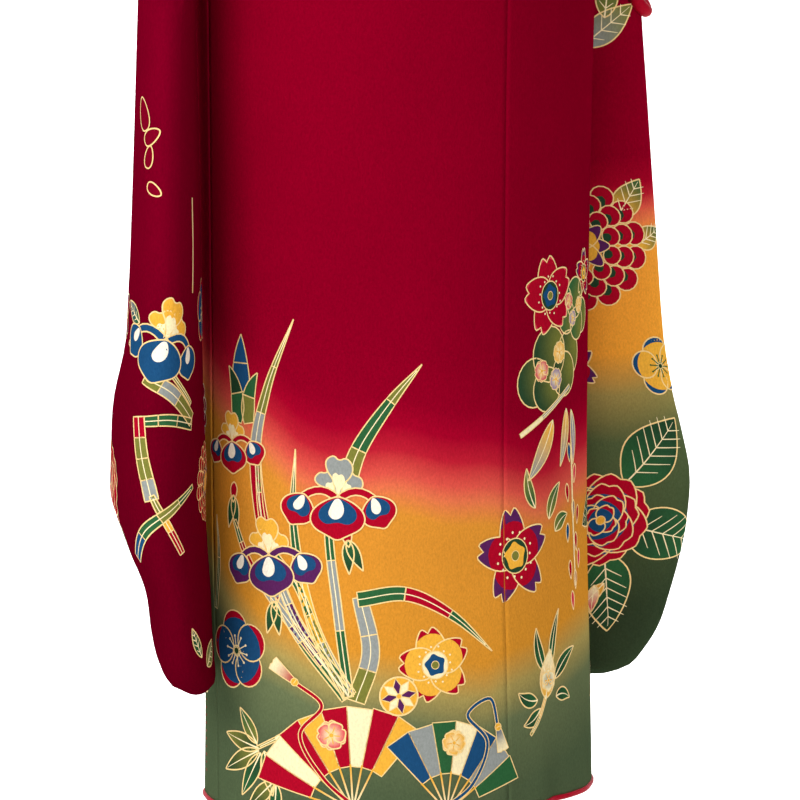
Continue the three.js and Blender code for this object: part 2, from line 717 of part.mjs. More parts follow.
for (const [side, sign, table] of [["left", 1, LEFT_SLEEVE], ["right", -1, RIGHT_SLEEVE]]) {
  add(`body_${side}`, bodyPanel(side, sign), COLOURS.crimson);
  add(`overlap_${side}`, overlap(side, sign), COLOURS.crimson);
  const [innerFace, outerFace] = sleeveFaces(table, sign);
  add(`sleeve_${side}_inner`, innerFace, COLOURS.wine);
  add(`sleeve_${side}_outer`, outerFace, COLOURS.wine);
  add(`cuff_roll_${side}`, cuffRoll(table, sign), COLOURS.red);
  add(`hem_roll_back_${side}`, hemRoll(side, sign, 0, BACK_WIDTH, 18), COLOURS.red);
  add(`hem_roll_front_${side}`, hemRoll(side, sign, BACK_WIDTH, FRONT_SEAM, 14), COLOURS.red);
  add(`hem_roll_overlap_${side}`, hemRoll(side, sign, FRONT_SEAM, OVERLAP_EDGE, 8), COLOURS.red);
}
add("collar", collar(), COLOURS.crimson);
add("waist_tie", waistTie(), COLOURS.crimson);

export default furisode;
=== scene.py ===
"""A worn furisode in dyed silk crepe, dressed over its fixed solids."""

import logging
import math
from dataclasses import dataclass, field
from enum import Enum
from typing import Callable, Sequence

import bmesh
import bpy
import numpy as np
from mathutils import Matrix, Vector
from mathutils.geometry import delaunay_2d_cdt


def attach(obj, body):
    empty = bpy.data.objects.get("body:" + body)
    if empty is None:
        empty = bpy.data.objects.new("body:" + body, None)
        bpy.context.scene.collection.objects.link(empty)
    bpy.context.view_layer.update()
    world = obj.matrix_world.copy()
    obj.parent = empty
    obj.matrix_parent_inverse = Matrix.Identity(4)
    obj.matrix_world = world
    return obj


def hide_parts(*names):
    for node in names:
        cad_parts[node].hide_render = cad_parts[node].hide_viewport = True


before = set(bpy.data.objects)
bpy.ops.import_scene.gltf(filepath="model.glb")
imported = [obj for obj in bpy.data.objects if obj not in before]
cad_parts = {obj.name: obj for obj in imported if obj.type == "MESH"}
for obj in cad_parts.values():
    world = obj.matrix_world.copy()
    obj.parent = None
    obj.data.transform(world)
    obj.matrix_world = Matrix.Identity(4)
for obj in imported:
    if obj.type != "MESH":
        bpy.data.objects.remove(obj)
LOG = logging.getLogger("furisode")
MM = 0.001

# In millimetres: the origin's height above the hem, the gaps at the seams, the walls of cloth,
# heights of parts of the cut, and how far stitches, paint and its lines stand off the cloth.
SHOULDER_HEIGHT = 1330.0
SEAM_GAP = 0.4
COLLAR_GAP = 0.9
CLOTH = 1.3
TURNED_EDGE = 0.8
ARMPIT = 1075.0
WAIST, TIE_LOW, TIE_HIGH = 1000.0, 1000.4, 1044.6
HEM_ROLL_Z, ROLL, ROLL_SIDES = 3.1, 2.6, 10
CREPE_FINENESS = 620.0
STITCH_LIFT = CLOTH / 2 + 0.1
SEAM_DIP, SEAM_REACH = 0.9, 0.5
PAINT_LIFT, LINE_LIFT, LINE_SHARE = CLOTH / 2 + 0.16, 0.04, 0.86

Piece = bpy.types.Object
Tree = bpy.types.NodeTree
Socket = bpy.types.NodeSocket
Material = bpy.types.Material
Colour = tuple[float, float, float]
Point = np.ndarray
Shape = Sequence[tuple[float, float]]
Rows = list[list[Point]]
Plan = list[list[tuple[float, float]]]


def srgb(red: int, green: int, blue: int) -> Colour:
    """Linear colour of a dye given as display numbers.

    Args:
        red, green, blue: display values from 0 to 255.

    Returns:
        The linear red, green and blue.
    """
    def one(value: int) -> float:
        """Linear value of one channel."""
        share = value / 255
        return share / 12.92 if share <= 0.04045 else ((share + 0.055) / 1.055) ** 2.4
    return one(red), one(green), one(blue)


def clamp(value: float, low: float, high: float) -> float:
    """The value held between two limits."""
    return min(high, max(low, value))


def mix(a: float | Point, b: float | Point, t: float | Point) -> float | Point:
    """The value a share of the way from a to b."""
    return a + (b - a) * t


def ease(t: float) -> float:
    """A share that starts and ends gently."""
    t = clamp(t, 0.0, 1.0)
    return t * t * (3 - 2 * t)


def smooth_row(table: list[tuple[float, ...]], z: float) -> list[float]:
    """The row of a table at a height, smoothly between its neighbours.

    Args:
        table: rows whose first column is the height, rising.
        z: height above the hem in millimetres.

    Returns:
        The other columns at that height.
    """
    last = len(table) - 1
    z = clamp(z, table[0][0], table[last][0])
    i = 0
    while i < last - 1 and table[i + 1][0] < z:
        i += 1
    a, b = table[i], table[i + 1]
    before, after = table[max(0, i - 1)], table[min(last, i + 2)]
    span = b[0] - a[0]
    t = (z - a[0]) / span
    row = []
    for k in range(1, len(a)):
        slope_a = (b[k] - before[k]) / (b[0] - before[0]) * span
        slope_b = (after[k] - a[k]) / (after[0] - a[0]) * span
        row.append(a[k] * (1 + 2 * t) * (1 - t) ** 2 + slope_a * t * (1 - t) ** 2
                   + b[k] * t * t * (3 - 2 * t) + slope_b * t * t * (t - 1))
    return row


class Side(Enum):
    """The wearer's side that a piece belongs to."""

    LEFT = 1
    RIGHT = -1

    @property
    def word(self) -> str:
        """The side as it stands in the names."""
        return self.name.lower()


class Face(Enum):
    """The half of a body length before or behind the shoulder."""

    BACK = 1
    FRONT = -1


@dataclass
class Form:
    """The general figure that the cloth hangs on, and the cloth's layers."""

    # Height, half width, half depth and shift to the back.
    levels: list[tuple[float, ...]] = field(default_factory=lambda: [
        (0, 188, 145.5, 4), (90, 187, 144.5, 3), (250, 186.5, 144, -2), (450, 188, 145.5, -3),
        (620, 191, 147, -3), (760, 194, 149, -3), (860, 188, 144, -2), (985, 160, 121, 0),
        (1060, 160, 120, 0), (1150, 162, 112, 0)])
    # Place round the body, half width, height, where it fades from and to.
    folds: list[tuple[float, ...]] = field(default_factory=lambda: [
        (-42, 13, 3.2, 0, 95), (-66, 12, -3, 0, 80), (-118, 22, 1.6, 0, 210), (60, 40, 1.4, 0, 160),
        (372, 26, 4.5, 0, 520), (432, 30, -3, 0, 430), (-488, 32, 3.5, 0, 640),
        (-420, 26, -2.2, 0, 420), (-352, 30, 3, 0, 460)])
    lap_edge: list[tuple[float, ...]] = field(default_factory=lambda: [
        (880, 1), (985, 0.95), (1060, 0.72), (1140, 0.04)])
    back_width: float = 300.0
    front_seam_at: float = 545.0
    overlap_edge: float = 695.0
    waist_z: float = 900.0
    chest_z: float = 1060.0
    crossing_z: float = 1140.0
    lap_start: float = 0.476
    lap_full: float = 0.657
    lap_reach: float = 1.32
    steps: int = 360
    rings: dict[float, tuple] = field(default_factory=dict)

    layers = {"back": (0, 5, 10), "right": (-3, 12, 17), "left": (3, 7.5, 27)}
    reach = {"back": (4, 4), "right": (10, 3), "left": (3, 12)}

    def ring(self, z: float) -> tuple:
        """One level of the figure with its running length from the centre back."""
        key = round(z, 1)
        if key not in self.rings:
            wide, deep, shift = smooth_row(self.levels, key)
            angle = (np.arange(self.steps) + 0.5) / self.steps * 2 * np.pi
            step = np.hypot(wide * np.cos(angle), deep * np.sin(angle)) * 2 * np.pi / self.steps
            self.rings[key] = (wide, deep, shift, np.concatenate([[0.0], np.cumsum(step)]))
        return self.rings[key]

    def quarter(self, z: float) -> float:
        """A quarter of the girth at a height."""
        return float(self.ring(z)[3][self.steps // 4])

    def lift(self, z: float, along: float) -> float:
        """How far the soft folds lift the cloth at a place."""
        girth = 4 * self.quarter(z)
        place = along - girth * round(along / girth)
        total = 0.0
        for at, half, out, low, high in self.folds:
            across = (place - at) / half
            if abs(across) < 4:
                total += out * math.exp(-across * across) * (1 - ease((z - low) / (high - low)))
        return total

    def point(self, z: float, along: float, out: float) -> Point:
        """A point of the cloth.

        Args:
            z: height above the hem.
            along: signed distance round the body, positive to the wearer's left.
            out: distance off the figure.

        Returns:
            The point in millimetres, heights counted from the hem.
        """
        wide, deep, shift, lengths = self.ring(z)
        distance = min(abs(along), float(lengths[-1]))
        angle = float(np.interp(distance, lengths, np.arange(self.steps + 1))) / self.steps
        angle *= 2 * math.pi * (1 if along >= 0 else -1)
        nx, ny = deep * math.sin(angle), wide * math.cos(angle)
        size = math.hypot(nx, ny)
        rise = out + self.lift(z, along)
        return np.array([wide * math.sin(angle) + nx / size * rise,
                         shift + deep * math.cos(angle) + ny / size * rise, z])

    def lap(self, z: float, along: float) -> float:
        """How far the fronts have stepped apart at a place."""
        share = abs(along) / (2 * self.quarter(z))
        return ease((share - self.lap_start) / (self.lap_full - self.lap_start))

    def out(self, weights: tuple, lap: float, side: Side) -> float:
        """Distance of a layer from the figure."""
        front, back = self.layers[side.word], self.layers["back"]
        return sum(w * mix(back[i], front[i], lap) for i, w in enumerate(weights))

    def taken(self, z: float) -> float:
        """How far the widths have been taken in between waist and chest."""
        return ease((z - self.waist_z) / (self.chest_z - self.waist_z))

    def side_seam(self, z: float) -> float:
        """Place of the side seam at a height."""
        return mix(self.back_width, self.quarter(z), self.taken(z))

    def front_seam(self, z: float) -> float:
        """Place of the seam between front and overlap at a height."""
        return mix(self.front_seam_at, 2 * self.quarter(z), self.taken(z))

    def lap_end(self, z: float) -> float:
        """Place of the overlap's free edge at a height."""
        share = smooth_row(self.lap_edge, z)[0]
        wide = self.front_seam(z) + (self.overlap_edge - self.front_seam_at) * share
        return min(wide, self.lap_reach * 2 * self.quarter(z))


FORM = Form()


@dataclass(frozen=True)
class Row:
    """One row of cloth: its height, the share of each layer and its fold."""

    z: float
    weights: tuple[float, float, float] = (1.0, 0.0, 0.0)
    up: float = 0.0
    down: float = 0.0

    def place(self, side: Side, along: float, extra: float = 0.0) -> Point:
        """The cloth of this row at a signed distance round the body."""
        lap = FORM.lap(self.z, along)
        back, front = FORM.reach["back"], FORM.reach[side.word]
        z = self.z + self.up * mix(back[0], front[0], lap) - self.down * mix(back[1], front[1], lap)
        return FORM.point(z, along, FORM.out(self.weights, lap, side) + extra)


def level(layer: int, *heights: float) -> list[Row]:
    """Rows of one layer at the given heights."""
    weights = tuple(1.0 if i == layer else 0.0 for i in range(3))
    return [Row(z, weights) for z in heights]


def bend(z: float, up: float, down: float, start: int, end: int) -> list[Row]:
    """Rows that carry the cloth round a fold from one layer to another."""
    rows = []
    for t in (0.1, 0.25, 0.42, 0.58, 0.75, 0.9):
        turn = math.cos(math.pi * t)
        weights = [0.0, 0.0, 0.0]
        weights[start], weights[end] = (1 + turn) / 2, (1 - turn) / 2
        rows.append(Row(z, tuple(weights), up * math.sin(math.pi * t), down * math.sin(math.pi * t)))
    return rows


TUCK_TOP, TUCK_HEM, HEM = 968.0, 872.0, 5.0
SKIRT_STEPS = [HEM, 9, 14] + list(np.arange(20, 960, 8.0)) + [TUCK_TOP]
RISE = (level(0, *SKIRT_STEPS) + bend(TUCK_TOP, 1, 0, 0, 1) + level(1, TUCK_TOP, 940, 905, TUCK_HEM)
        + bend(TUCK_HEM, 0, 1, 1, 2) + level(2, TUCK_HEM, *np.arange(880, 1056, 8.0), 1060))


def curve(points: list, share: float) -> Point:
    """A point of a smooth centripetal curve that passes through all points.

    Args:
        points: the points in order.
        share: how far along the points, from 0 to 1.

    Returns:
        The point.
    """
    pts = [np.array(p, dtype=float) for p in points]
    spans = len(pts) - 1
    at = clamp(share, 0, 1) * spans
    i = min(int(at), spans - 1)
    t = at - i
    p1, p2 = pts[i], pts[i + 1]
    p0 = pts[i - 1] if i > 0 else 2 * p1 - p2
    p3 = pts[i + 2] if i + 2 <= spans else 2 * p2 - p1
    d0, d1, d2 = (max(1e-4, float(np.linalg.norm(b - a))) ** 0.5
                  for a, b in ((p0, p1), (p1, p2), (p2, p3)))
    t1 = ((p1 - p0) / d0 - (p2 - p0) / (d0 + d1) + (p2 - p1) / d1) * d1
    t2 = ((p2 - p1) / d1 - (p3 - p1) / (d1 + d2) + (p3 - p2) / d2) * d1
    return (p1 * (2 * t ** 3 - 3 * t * t + 1) + t1 * (t ** 3 - 2 * t * t + t)
            + p2 * (3 * t * t - 2 * t ** 3) + t2 * (t ** 3 - t * t))


# --- garment cut

NAPE, NECK, SHOULDER = (0, 84, 1300), (68, 8, 1322), (214, -4, 1213.5)
ARMHOLE = [(1075, 190), (1110, 195), (1140, 200), (1182, 207), (1202, 212)]
# Height, centre, half length along the flat, half thickness and turn.
SLEEVE_HEAD = [(1075, 226, -7, 60, 38, 90), (1140, 221, -5, 54, 36, 90), (1182, 217, -4, 40, 27, 90),
               (1202, 214, -4, 22, 15, 90), (1209, 213, -4, 8, 6, 90)]
LEFT_SLEEVE = [
    (112, 221, -16, 22, 8, 50), (120, 224, -18, 44, 19, 50), (141, 228, -22, 66, 24, 50),
    (165, 231, -24, 76, 26, 50), (205, 234, -26, 88, 28, 50), (242, 240, -32, 93, 34, 50),
    (284, 246, -37, 95, 40, 50), (311, 246, -37, 95, 41, 50), (369, 246, -37, 92, 39, 50),
    (422, 242, -34, 88, 33, 50), (474, 241, -33, 84, 31, 50), (571, 240, -32, 79, 28.5, 50),
    (721, 239, -31, 70, 25, 52), (860, 237, -26, 64, 26, 64), (980, 233, -16, 60, 30, 80),
    *SLEEVE_HEAD]
RIGHT_SLEEVE = [
    (81, 241, -13, 16, 8, 50), (87, 241, -15, 36, 17, 50), (103, 241, -19, 54, 22, 50),
    (127, 241, -21, 70, 25, 50), (158, 241, -21, 80, 28, 50), (193, 241, -19, 88, 32, 50),
    (230, 241, -18, 94, 36, 50), (270, 241, -18, 96, 38, 50), (309, 241, -28, 95, 38, 50),
    (344, 241, -38, 93, 36, 50), (389, 240, -44, 90, 33, 50), (497, 240, -46, 83, 30, 50),
    (613, 240, -48, 76, 28, 50), (721, 239, -48, 70, 26, 52), (860, 237, -36, 64, 26, 64),
    (980, 233, -18, 60, 30, 80), *SLEEVE_HEAD]
CUFF_HIGH, CUFF_HALF = 880.0, 13.0
EDGE_LOW, EDGE_HIGH, EDGE_HALF = 20.0, 1010.0, 9.0


def armhole_edge(face: Face) -> list[tuple[float, float, float]]:
    """The armhole seam, just clear of the head of the sleeve inside it."""
    edge = []
    for z, x in ARMHOLE:
        middle, y, long, thin, _ = smooth_row(LEFT_SLEEVE, z)
        depth = long * math.sqrt(max(0.0, 1 - ((x - middle) / thin) ** 2))
        edge.append((x - 0.8, y + face.value * (depth + 1.8), z))
    return edge


def neck_edge(side: Side, face: Face) -> list:
    """The edge that the collar is sewn to, from the chest to the shoulder."""
    out = FORM.layers[side.word][2]
    chest = RISE[-1]
    if face is Face.BACK:
        return [chest.place(Side.LEFT, SEAM_GAP / 2), (0.2, 121, 1150), (0.2, 103, 1240), NAPE,
                (42, 64, 1308), (64, 36, 1317), NECK]
    start = FORM.point(FORM.chest_z, FORM.front_seam(FORM.chest_z) - SEAM_GAP / 2, out)
    return [start, (0.2, -111 - out, FORM.crossing_z), (24, -100 - out * 0.7, 1190),
            (46, -74 - out * 0.3, 1240), (62, -32, 1292), NECK]


SHOULDER_STEPS = [i / 30 for i in range(1, 30)]


@dataclass
class BodyLength:
    """One length of cloth from the back hem over the shoulder to the front hem."""

    side: Side
    columns: int = 60

    def seam(self, face: Face, z: float) -> tuple[float, float]:
        """Where the row starts at its inner seam and ends at the side seam."""
        inner = SEAM_GAP / 2 if face is Face.BACK else FORM.front_seam(z) - SEAM_GAP / 2
        return inner, FORM.side_seam(z) - face.value * SEAM_GAP / 2

    def chest_point(self, face: Face, p: float) -> Point:
        """A point of the chest row, on the wearer's left."""
        row = RISE[-1]
        inner, outer = self.seam(face, row.z)
        along = mix(inner, outer, p)
        return FORM.point(row.z, along, FORM.out(row.weights, FORM.lap(row.z, along), self.side))

    def shoulder_rows(self, face: Face, shares: list[float]) -> Rows:
        """Rows from the chest row up to the shoulder.

        Args:
            face: back or front.
            shares: places across, from the inner seam to the side.

        Returns:
            The rows of points.
        """
        low, high = self.chest_point(face, 0), self.chest_point(face, 1)
        near = neck_edge(self.side, face)
        far = [high, (180, face.value * 8, 1068), *armhole_edge(face), SHOULDER]
        levels = [self.chest_point(face, p) for p in shares]
        rows = []
        for q in SHOULDER_STEPS:
            a, b, flat = curve(near, q), curve(far, q), ease(q)
            row = []
            for p, spot in zip(shares, levels):
                wx = (spot[0] - low[0]) / (high[0] - low[0])
                wy = (spot[1] - low[1]) / (high[1] - low[1])
                row.append(np.array([
                    self.side.value * mix(max(a[0], 0.2), b[0], mix(wx, p, flat)),
                    mix(a[1], b[1], mix(wy, p ** 1.3, flat)), mix(a[2], b[2], p ** 1.7)]))
            rows.append(row)
        return rows

    def rows(self) -> tuple[Rows, Plan]:
        """All rows of the length, with each point's place in the dye plan.

        Returns:
            The points, and for each the distance round the body and the height.
        """
        shares = [i / self.columns for i in range(self.columns + 1)]
        points, plan = [], []
        for face in (Face.BACK, Face.FRONT):
            part, marks = [], []
            for row in RISE:
                inner, outer = self.seam(face, row.z)
                alongs = [mix(inner, outer, p) for p in shares]
                part.append([row.place(self.side, self.side.value * a) for a in alongs])
                marks.append([(self.side.value * a, row.z) for a in alongs])
            part += self.shoulder_rows(face, shares)
            marks += [[(a, 1150 + 160 * q) for a, _ in marks[-1]] for q in SHOULDER_STEPS]
            if face is Face.BACK:
                points, plan = part, marks
                points.append([np.array([
                    self.side.value * mix(NECK[0], SHOULDER[0], p), mix(NECK[1], SHOULDER[1], p),
                    mix(NECK[2], SHOULDER[2], p ** 1.7)]) for p in shares])
                plan.append([(a, 1310.0) for a, _ in marks[-1]])
            else:
                points += part[::-1]
                plan += marks[::-1]
        return points, plan


@dataclass
class Overlap:
    """The narrow length that widens each front and laps across."""

    side: Side
    columns: int = 28

    def rows(self) -> tuple[Rows, Plan]:
        """All rows of the overlap, with each point's place in the dye plan."""
        points, plan = [], []
        for row in RISE + level(2, 1070, 1080, 1090, 1100, 1110, 1120, 1134):
            start, end = FORM.front_seam(row.z) + SEAM_GAP / 2, FORM.lap_end(row.z)
            alongs = [self.side.value * mix(start, end, i / self.columns)
                      for i in range(self.columns + 1)]
            points.append([row.place(self.side, a) for a in alongs])
            plan.append([(a, row.z) for a in alongs])
        return points, plan


@dataclass
class SleeveForm:
    """The hanging bag of one sleeve."""

    side: Side
    table: list[tuple[float, ...]]
    cuff_low: float
    lengths: dict[int, tuple] = field(default_factory=dict)

    def section(self, z: float) -> tuple[float, float, float, float, float, float]:
        """Centre, half sizes and the direction of the flat at a height."""
        x, y, long, thin, turn = smooth_row(self.table, z)
        angle = math.radians(turn)
        return x, y, long, thin, math.cos(angle), math.sin(angle)

    def spot(self, z: float, run: float, deep: float) -> Point:
        """The point at a run along the flat and a distance off its middle."""
        x, y, _, _, fx, fy = self.section(z)
        return np.array([self.side.value * (x + fx * run - fy * deep), y + fy * run + fx * deep, z])

    def point(self, z: float, turn: float, extra: float = 0.0) -> Point:
        """A point of the bag.

        Args:
            z: height above the hem.
            turn: angle round the section from its outer end.
            extra: distance off the cloth.

        Returns:
            The point in millimetres.
        """
        long, thin = self.section(z)[2:4]
        return self.spot(z, (long + extra) * math.cos(turn), (thin + extra) * math.sin(turn))

    def turn_at(self, z: float, across: float) -> float:
        """The angle whose running length from the outer end is given."""
        key = round(z)
        if key not in self.lengths:
            long, thin = self.section(key)[2:4]
            turns = np.linspace(0, 2 * math.pi, 361)
            steps = np.hypot(long * np.sin(turns), thin * np.cos(turns))[:-1] * 2 * math.pi / 360
            self.lengths[key] = (turns, np.concatenate([[0.0], np.cumsum(steps)]))
        turns, lengths = self.lengths[key]
        return math.copysign(float(np.interp(abs(across), lengths, turns)), across)

    def place(self, across: float, z: float, extra: float) -> Point:
        """A point off the bag by its running length from the outer end."""
        return self.point(z, self.turn_at(z, across), extra)


# --- dye plan and the left sleeve's painted shade

RED_LINE = [(-530, 330), (-400, 345), (-300, 325), (-200, 300), (-103, 288), (0, 284), (103, 302),
            (195, 322), (268, 368), (330, 395), (430, 380), (530, 330), (700, 330)]
GREEN_LINE = [(-530, 160), (-400, 175), (-300, 168), (-200, 150), (-116, 138), (-40, 126), (22, 101),
              (103, 113), (166, 130), (233, 151), (300, 212), (370, 230), (450, 190), (530, 160),
              (700, 160)]


def skirt_dye(along: float, z: float) -> float:
    """How far down the run of dyes the cloth is, from 0, red, to 1, green.

    Args:
        along: signed distance round the body.
        z: height above the hem.

    Returns:
        The place on the run of dyes.
    """
    red = float(np.interp(along, *zip(*RED_LINE)))
    green = float(np.interp(along, *zip(*GREEN_LINE)))
    wave = 5 * math.sin(along / 37.0) + 4 * math.sin(along / 17.0 + 1.3)
    red, green = red + wave, green + 0.6 * wave
    heights = [green - 95, green - 30, green, green + 30, red - 34, red, red + 48, red + 120, red + 240]
    return float(np.interp(z, heights, DYE_MARKS))


def right_sleeve_dye(across: float, z: float) -> float:
    """The run of dyes on the right sleeve."""
    z += 7 * math.sin(across / 31.0) - 0.06 * across
    heights = [150, 305, 346, 384, 488, 514, 532, 566, 640]
    return float(np.interp(z, heights, DYE_MARKS))


def left_sleeve_painted_shade(across: float, z: float) -> float:
    """The left sleeve's one red, with painted shade that darkens it towards its foot and the body."""
    return clamp((620 - z) / 500 + across / 400, 0, 1)


# --- mesh making

def show(name: str, data: bpy.types.ID) -> Piece:
    """A new object in the scene for a mesh, lamp or camera."""
    thing = bpy.data.objects.new(name, data)
    bpy.context.scene.collection.objects.link(thing)
    return thing


def aim(thing: Piece, target: Sequence[float]) -> None:
    """Turns a lamp or camera towards a point."""
    look = Vector(target) - thing.location
    thing.rotation_euler = look.to_track_quat("-Z", "Y").to_euler()


def mesh_object(name: str, points: np.ndarray, faces: list, materials: list,
                edges: list = ()) -> Piece:
    """A mesh object from points in millimetres above the hem.

    Args:
        name: the piece's name.
        points: one row of three numbers for each point.
        faces: the faces' point numbers.
        materials: the piece's materials.
        edges: the loose edges' point numbers.

    Returns:
        The new object, at the origin.
    """
    mesh = bpy.data.meshes.new(name)
    placed = (np.asarray(points, dtype=float) - (0, 0, SHOULDER_HEIGHT)) * MM
    mesh.from_pydata(placed.tolist(), list(edges), faces)
    for material in materials:
        mesh.materials.append(material)
    mesh.update()
    mesh.polygons.foreach_set("use_smooth", [True] * len(mesh.polygons))
    return show(name, mesh)


def set_floats(piece: Piece, name: str, values: list[float]) -> None:
    """Gives the piece's points one number each under a name."""
    attribute = piece.data.attributes.new(name, "FLOAT", "POINT")
    attribute.data.foreach_set("value", values)


def set_uv(piece: Piece, places: list[tuple[float, float]]) -> None:
    """Gives the piece a flat map in millimetres of cloth, scaled to metres."""
    layer = piece.data.uv_layers.new(name="Cut")
    flat = np.asarray(places, dtype=float)[[loop.vertex_index for loop in piece.data.loops]] * MM
    layer.data.foreach_set("uv", flat.ravel())


def thicken(piece: Piece, depth: float, lining: Material) -> None:
    """Gives a sheet its thickness, half to each side, with the lining inside."""
    piece.data.materials.append(lining)
    wall = piece.modifiers.new("Cloth", "SOLIDIFY")
    wall.thickness, wall.offset, wall.use_even_offset = depth * MM, 0.0, False
    wall.material_offset = 1


def turn_out(piece: Piece) -> None:
    """Turns the faces so that they look away from the upright line through the neck."""
    mesh = piece.data
    if sum(Vector((*p.center[:2], 0)).dot(p.normal) * p.area for p in mesh.polygons) < 0:
        mesh.flip_normals()


def reshape(piece: Piece, change: Callable[[bmesh.types.BMesh], object]) -> None:
    """Changes a piece's mesh through a bmesh."""
    shape = bmesh.new()
    shape.from_mesh(piece.data)
    change(shape)
    shape.to_mesh(piece.data)
    shape.free()


def drop_loose(shape: bmesh.types.BMesh) -> None:
    """Drops points that no face uses."""
    bmesh.ops.delete(shape, geom=[v for v in shape.verts if not v.link_faces], context="VERTS")


def mend_outside(shape: bmesh.types.BMesh) -> None:
    """Makes the faces of closed shapes look outwards."""
    bmesh.ops.recalc_face_normals(shape, faces=shape.faces)


def grid_faces(height: int, width: int, keep: Callable[[int, int], bool] = lambda j, i: True,
               looped: bool = False) -> list[tuple[int, int, int, int]]:
    """Faces between the points of a grid.

    Args:
        height: number of rows.
        width: number of points in a row.
        keep: says which patches stay.
        looped: True where each row closes on itself.

    Returns:
        The faces.
    """
    spans = width if looped else width - 1
    return [(j * width + i, j * width + (i + 1) % width,
             (j + 1) * width + (i + 1) % width, (j + 1) * width + i)
            for j in range(height - 1) for i in range(spans) if keep(j, i)]


# --- finishes

class Nodes:
    """A short way to write a shader's nodes."""

    def __init__(self, tree: Tree) -> None:
        """Starts on an empty tree."""
        self.tree = tree
        tree.nodes.clear()

    def add(self, kind: str, *links: Socket, **values: object) -> bpy.types.Node:
        """A node with its properties and inputs set.

        Args:
            kind: Blender's name for the node.
            links: sockets that run into its first inputs, in order.
            values: properties by name, or inputs by name with _ for a space.

        Returns:
            The node.
        """
        node = self.tree.nodes.new(kind)
        for socket, end in zip(links, node.inputs):
            self.tree.links.new(socket, end)
        for name, value in values.items():
            if hasattr(node, name):
                setattr(node, name, value)
            else:
                socket = node.inputs[name.replace("_", " ")]
                if isinstance(value, Socket):
                    self.tree.links.new(value, socket)
                else:
                    socket.default_value = value
        return node

    def link(self, start: Socket, end: Socket) -> None:
        """Joins two sockets."""
        self.tree.links.new(start, end)


def crepe_group() -> Tree:
    """The pebbled grain of silk crepe, as a height and a slight change of tone."""
    tree = bpy.data.node_groups.new("silk_crepe_grain", "ShaderNodeTree")
    face = tree.interface
    face.new_socket("Vector", in_out="INPUT", socket_type="NodeSocketVector")
    face.new_socket("Height", in_out="OUTPUT", socket_type="NodeSocketFloat")
    face.new_socket("Tone", in_out="OUTPUT", socket_type="NodeSocketFloat")
    nodes = Nodes(tree)
    start, end = nodes.add("NodeGroupInput"), nodes.add("NodeGroupOutput")
    stretch = nodes.add("ShaderNodeMapping", Scale=(1.0, 1.0, 0.62), Vector=start.outputs["Vector"])
    crinkle = nodes.add("ShaderNodeTexNoise", Vector=stretch.outputs[0], Scale=CREPE_FINENESS,
                        Detail=2.0, Roughness=0.6)
    cloud = nodes.add("ShaderNodeTexNoise", Vector=start.outputs["Vector"], Scale=9.0, Detail=2.0)
    pebble = nodes.add("ShaderNodeMapRange", From_Min=0.3, From_Max=0.7, Value=crinkle.outputs[0])
    tone = nodes.add("ShaderNodeMapRange", From_Min=0.25, From_Max=0.75, To_Min=0.86, To_Max=1.12,
                     Value=crinkle.outputs[0])
    drift = nodes.add("ShaderNodeMapRange", From_Min=0.3, From_Max=0.7, To_Min=0.96, To_Max=1.04,
                      Value=cloud.outputs[0])
    both = nodes.add("ShaderNodeMath", tone.outputs[0], drift.outputs[0], operation="MULTIPLY")
    nodes.link(pebble.outputs[0], end.inputs["Height"])
    nodes.link(both.outputs[0], end.inputs["Tone"])
    return tree


@dataclass(frozen=True)
class Finish:
    """A cloth finish: where its colour comes from and how it takes the light."""

    name: str
    colour: Colour | None = None
    attribute: str | None = None
    ramp: tuple[tuple[float, Colour], ...] = ()
    # A scale on the ramp's colours; below 1 it is painted shade.
    depth: float = 1.0
    rough: float = 0.7
    grain: float = 0.2
    gloss: float = 0.0

    def make(self, crepe: Tree) -> Material:
        """Builds the material.

        Args:
            crepe: the shared grain group.

        Returns:
            The material.
        """
        material = bpy.data.materials.new(self.name)
        material.use_nodes = True
        nodes = Nodes(material.node_tree)
        place = nodes.add("ShaderNodeTexCoord")
        grain = nodes.add("ShaderNodeGroup", node_tree=crepe)
        nodes.link(place.outputs["Object"], grain.inputs["Vector"])
        tint = nodes.add("ShaderNodeVectorMath", operation="SCALE", Scale=grain.outputs["Tone"])
        if self.attribute:
            source = nodes.add("ShaderNodeAttribute", attribute_name=self.attribute)
            colour = source.outputs["Color"]
            if self.ramp:
                colour = self.run_of_dyes(nodes, source.outputs["Fac"])
            nodes.link(colour, tint.inputs[0])
        else:
            tint.inputs[0].default_value = self.colour
        bump = nodes.add("ShaderNodeBump", Strength=self.grain, Distance=0.0006,
                         Height=grain.outputs["Height"])
        shader = nodes.add("ShaderNodeBsdfPrincipled", Roughness=self.rough,
                           Specular_IOR_Level=self.gloss, Base_Color=tint.outputs[0],
                           Normal=bump.outputs["Normal"])
        nodes.add("ShaderNodeOutputMaterial", shader.outputs[0])
        return material

    def run_of_dyes(self, nodes: Nodes, place: Socket) -> Socket:
        """The colour at a place on the run of dyes."""
        ramp = nodes.add("ShaderNodeValToRGB", place)
        stops = ramp.color_ramp.elements
        for i, (at, colour) in enumerate(self.ramp):
            stop = stops[i] if i < 2 else stops.new(at)
            stop.position, stop.color = at, (*(c * self.depth for c in colour), 1)
        return ramp.outputs["Color"]


def dye_run(*stops: tuple[float, int, int, int]) -> tuple[tuple[float, Colour], ...]:
    """A run of dyes from stops of place, red, green and blue, its two ends first."""
    return tuple((at, srgb(*rgb)) for at, *rgb in stops)


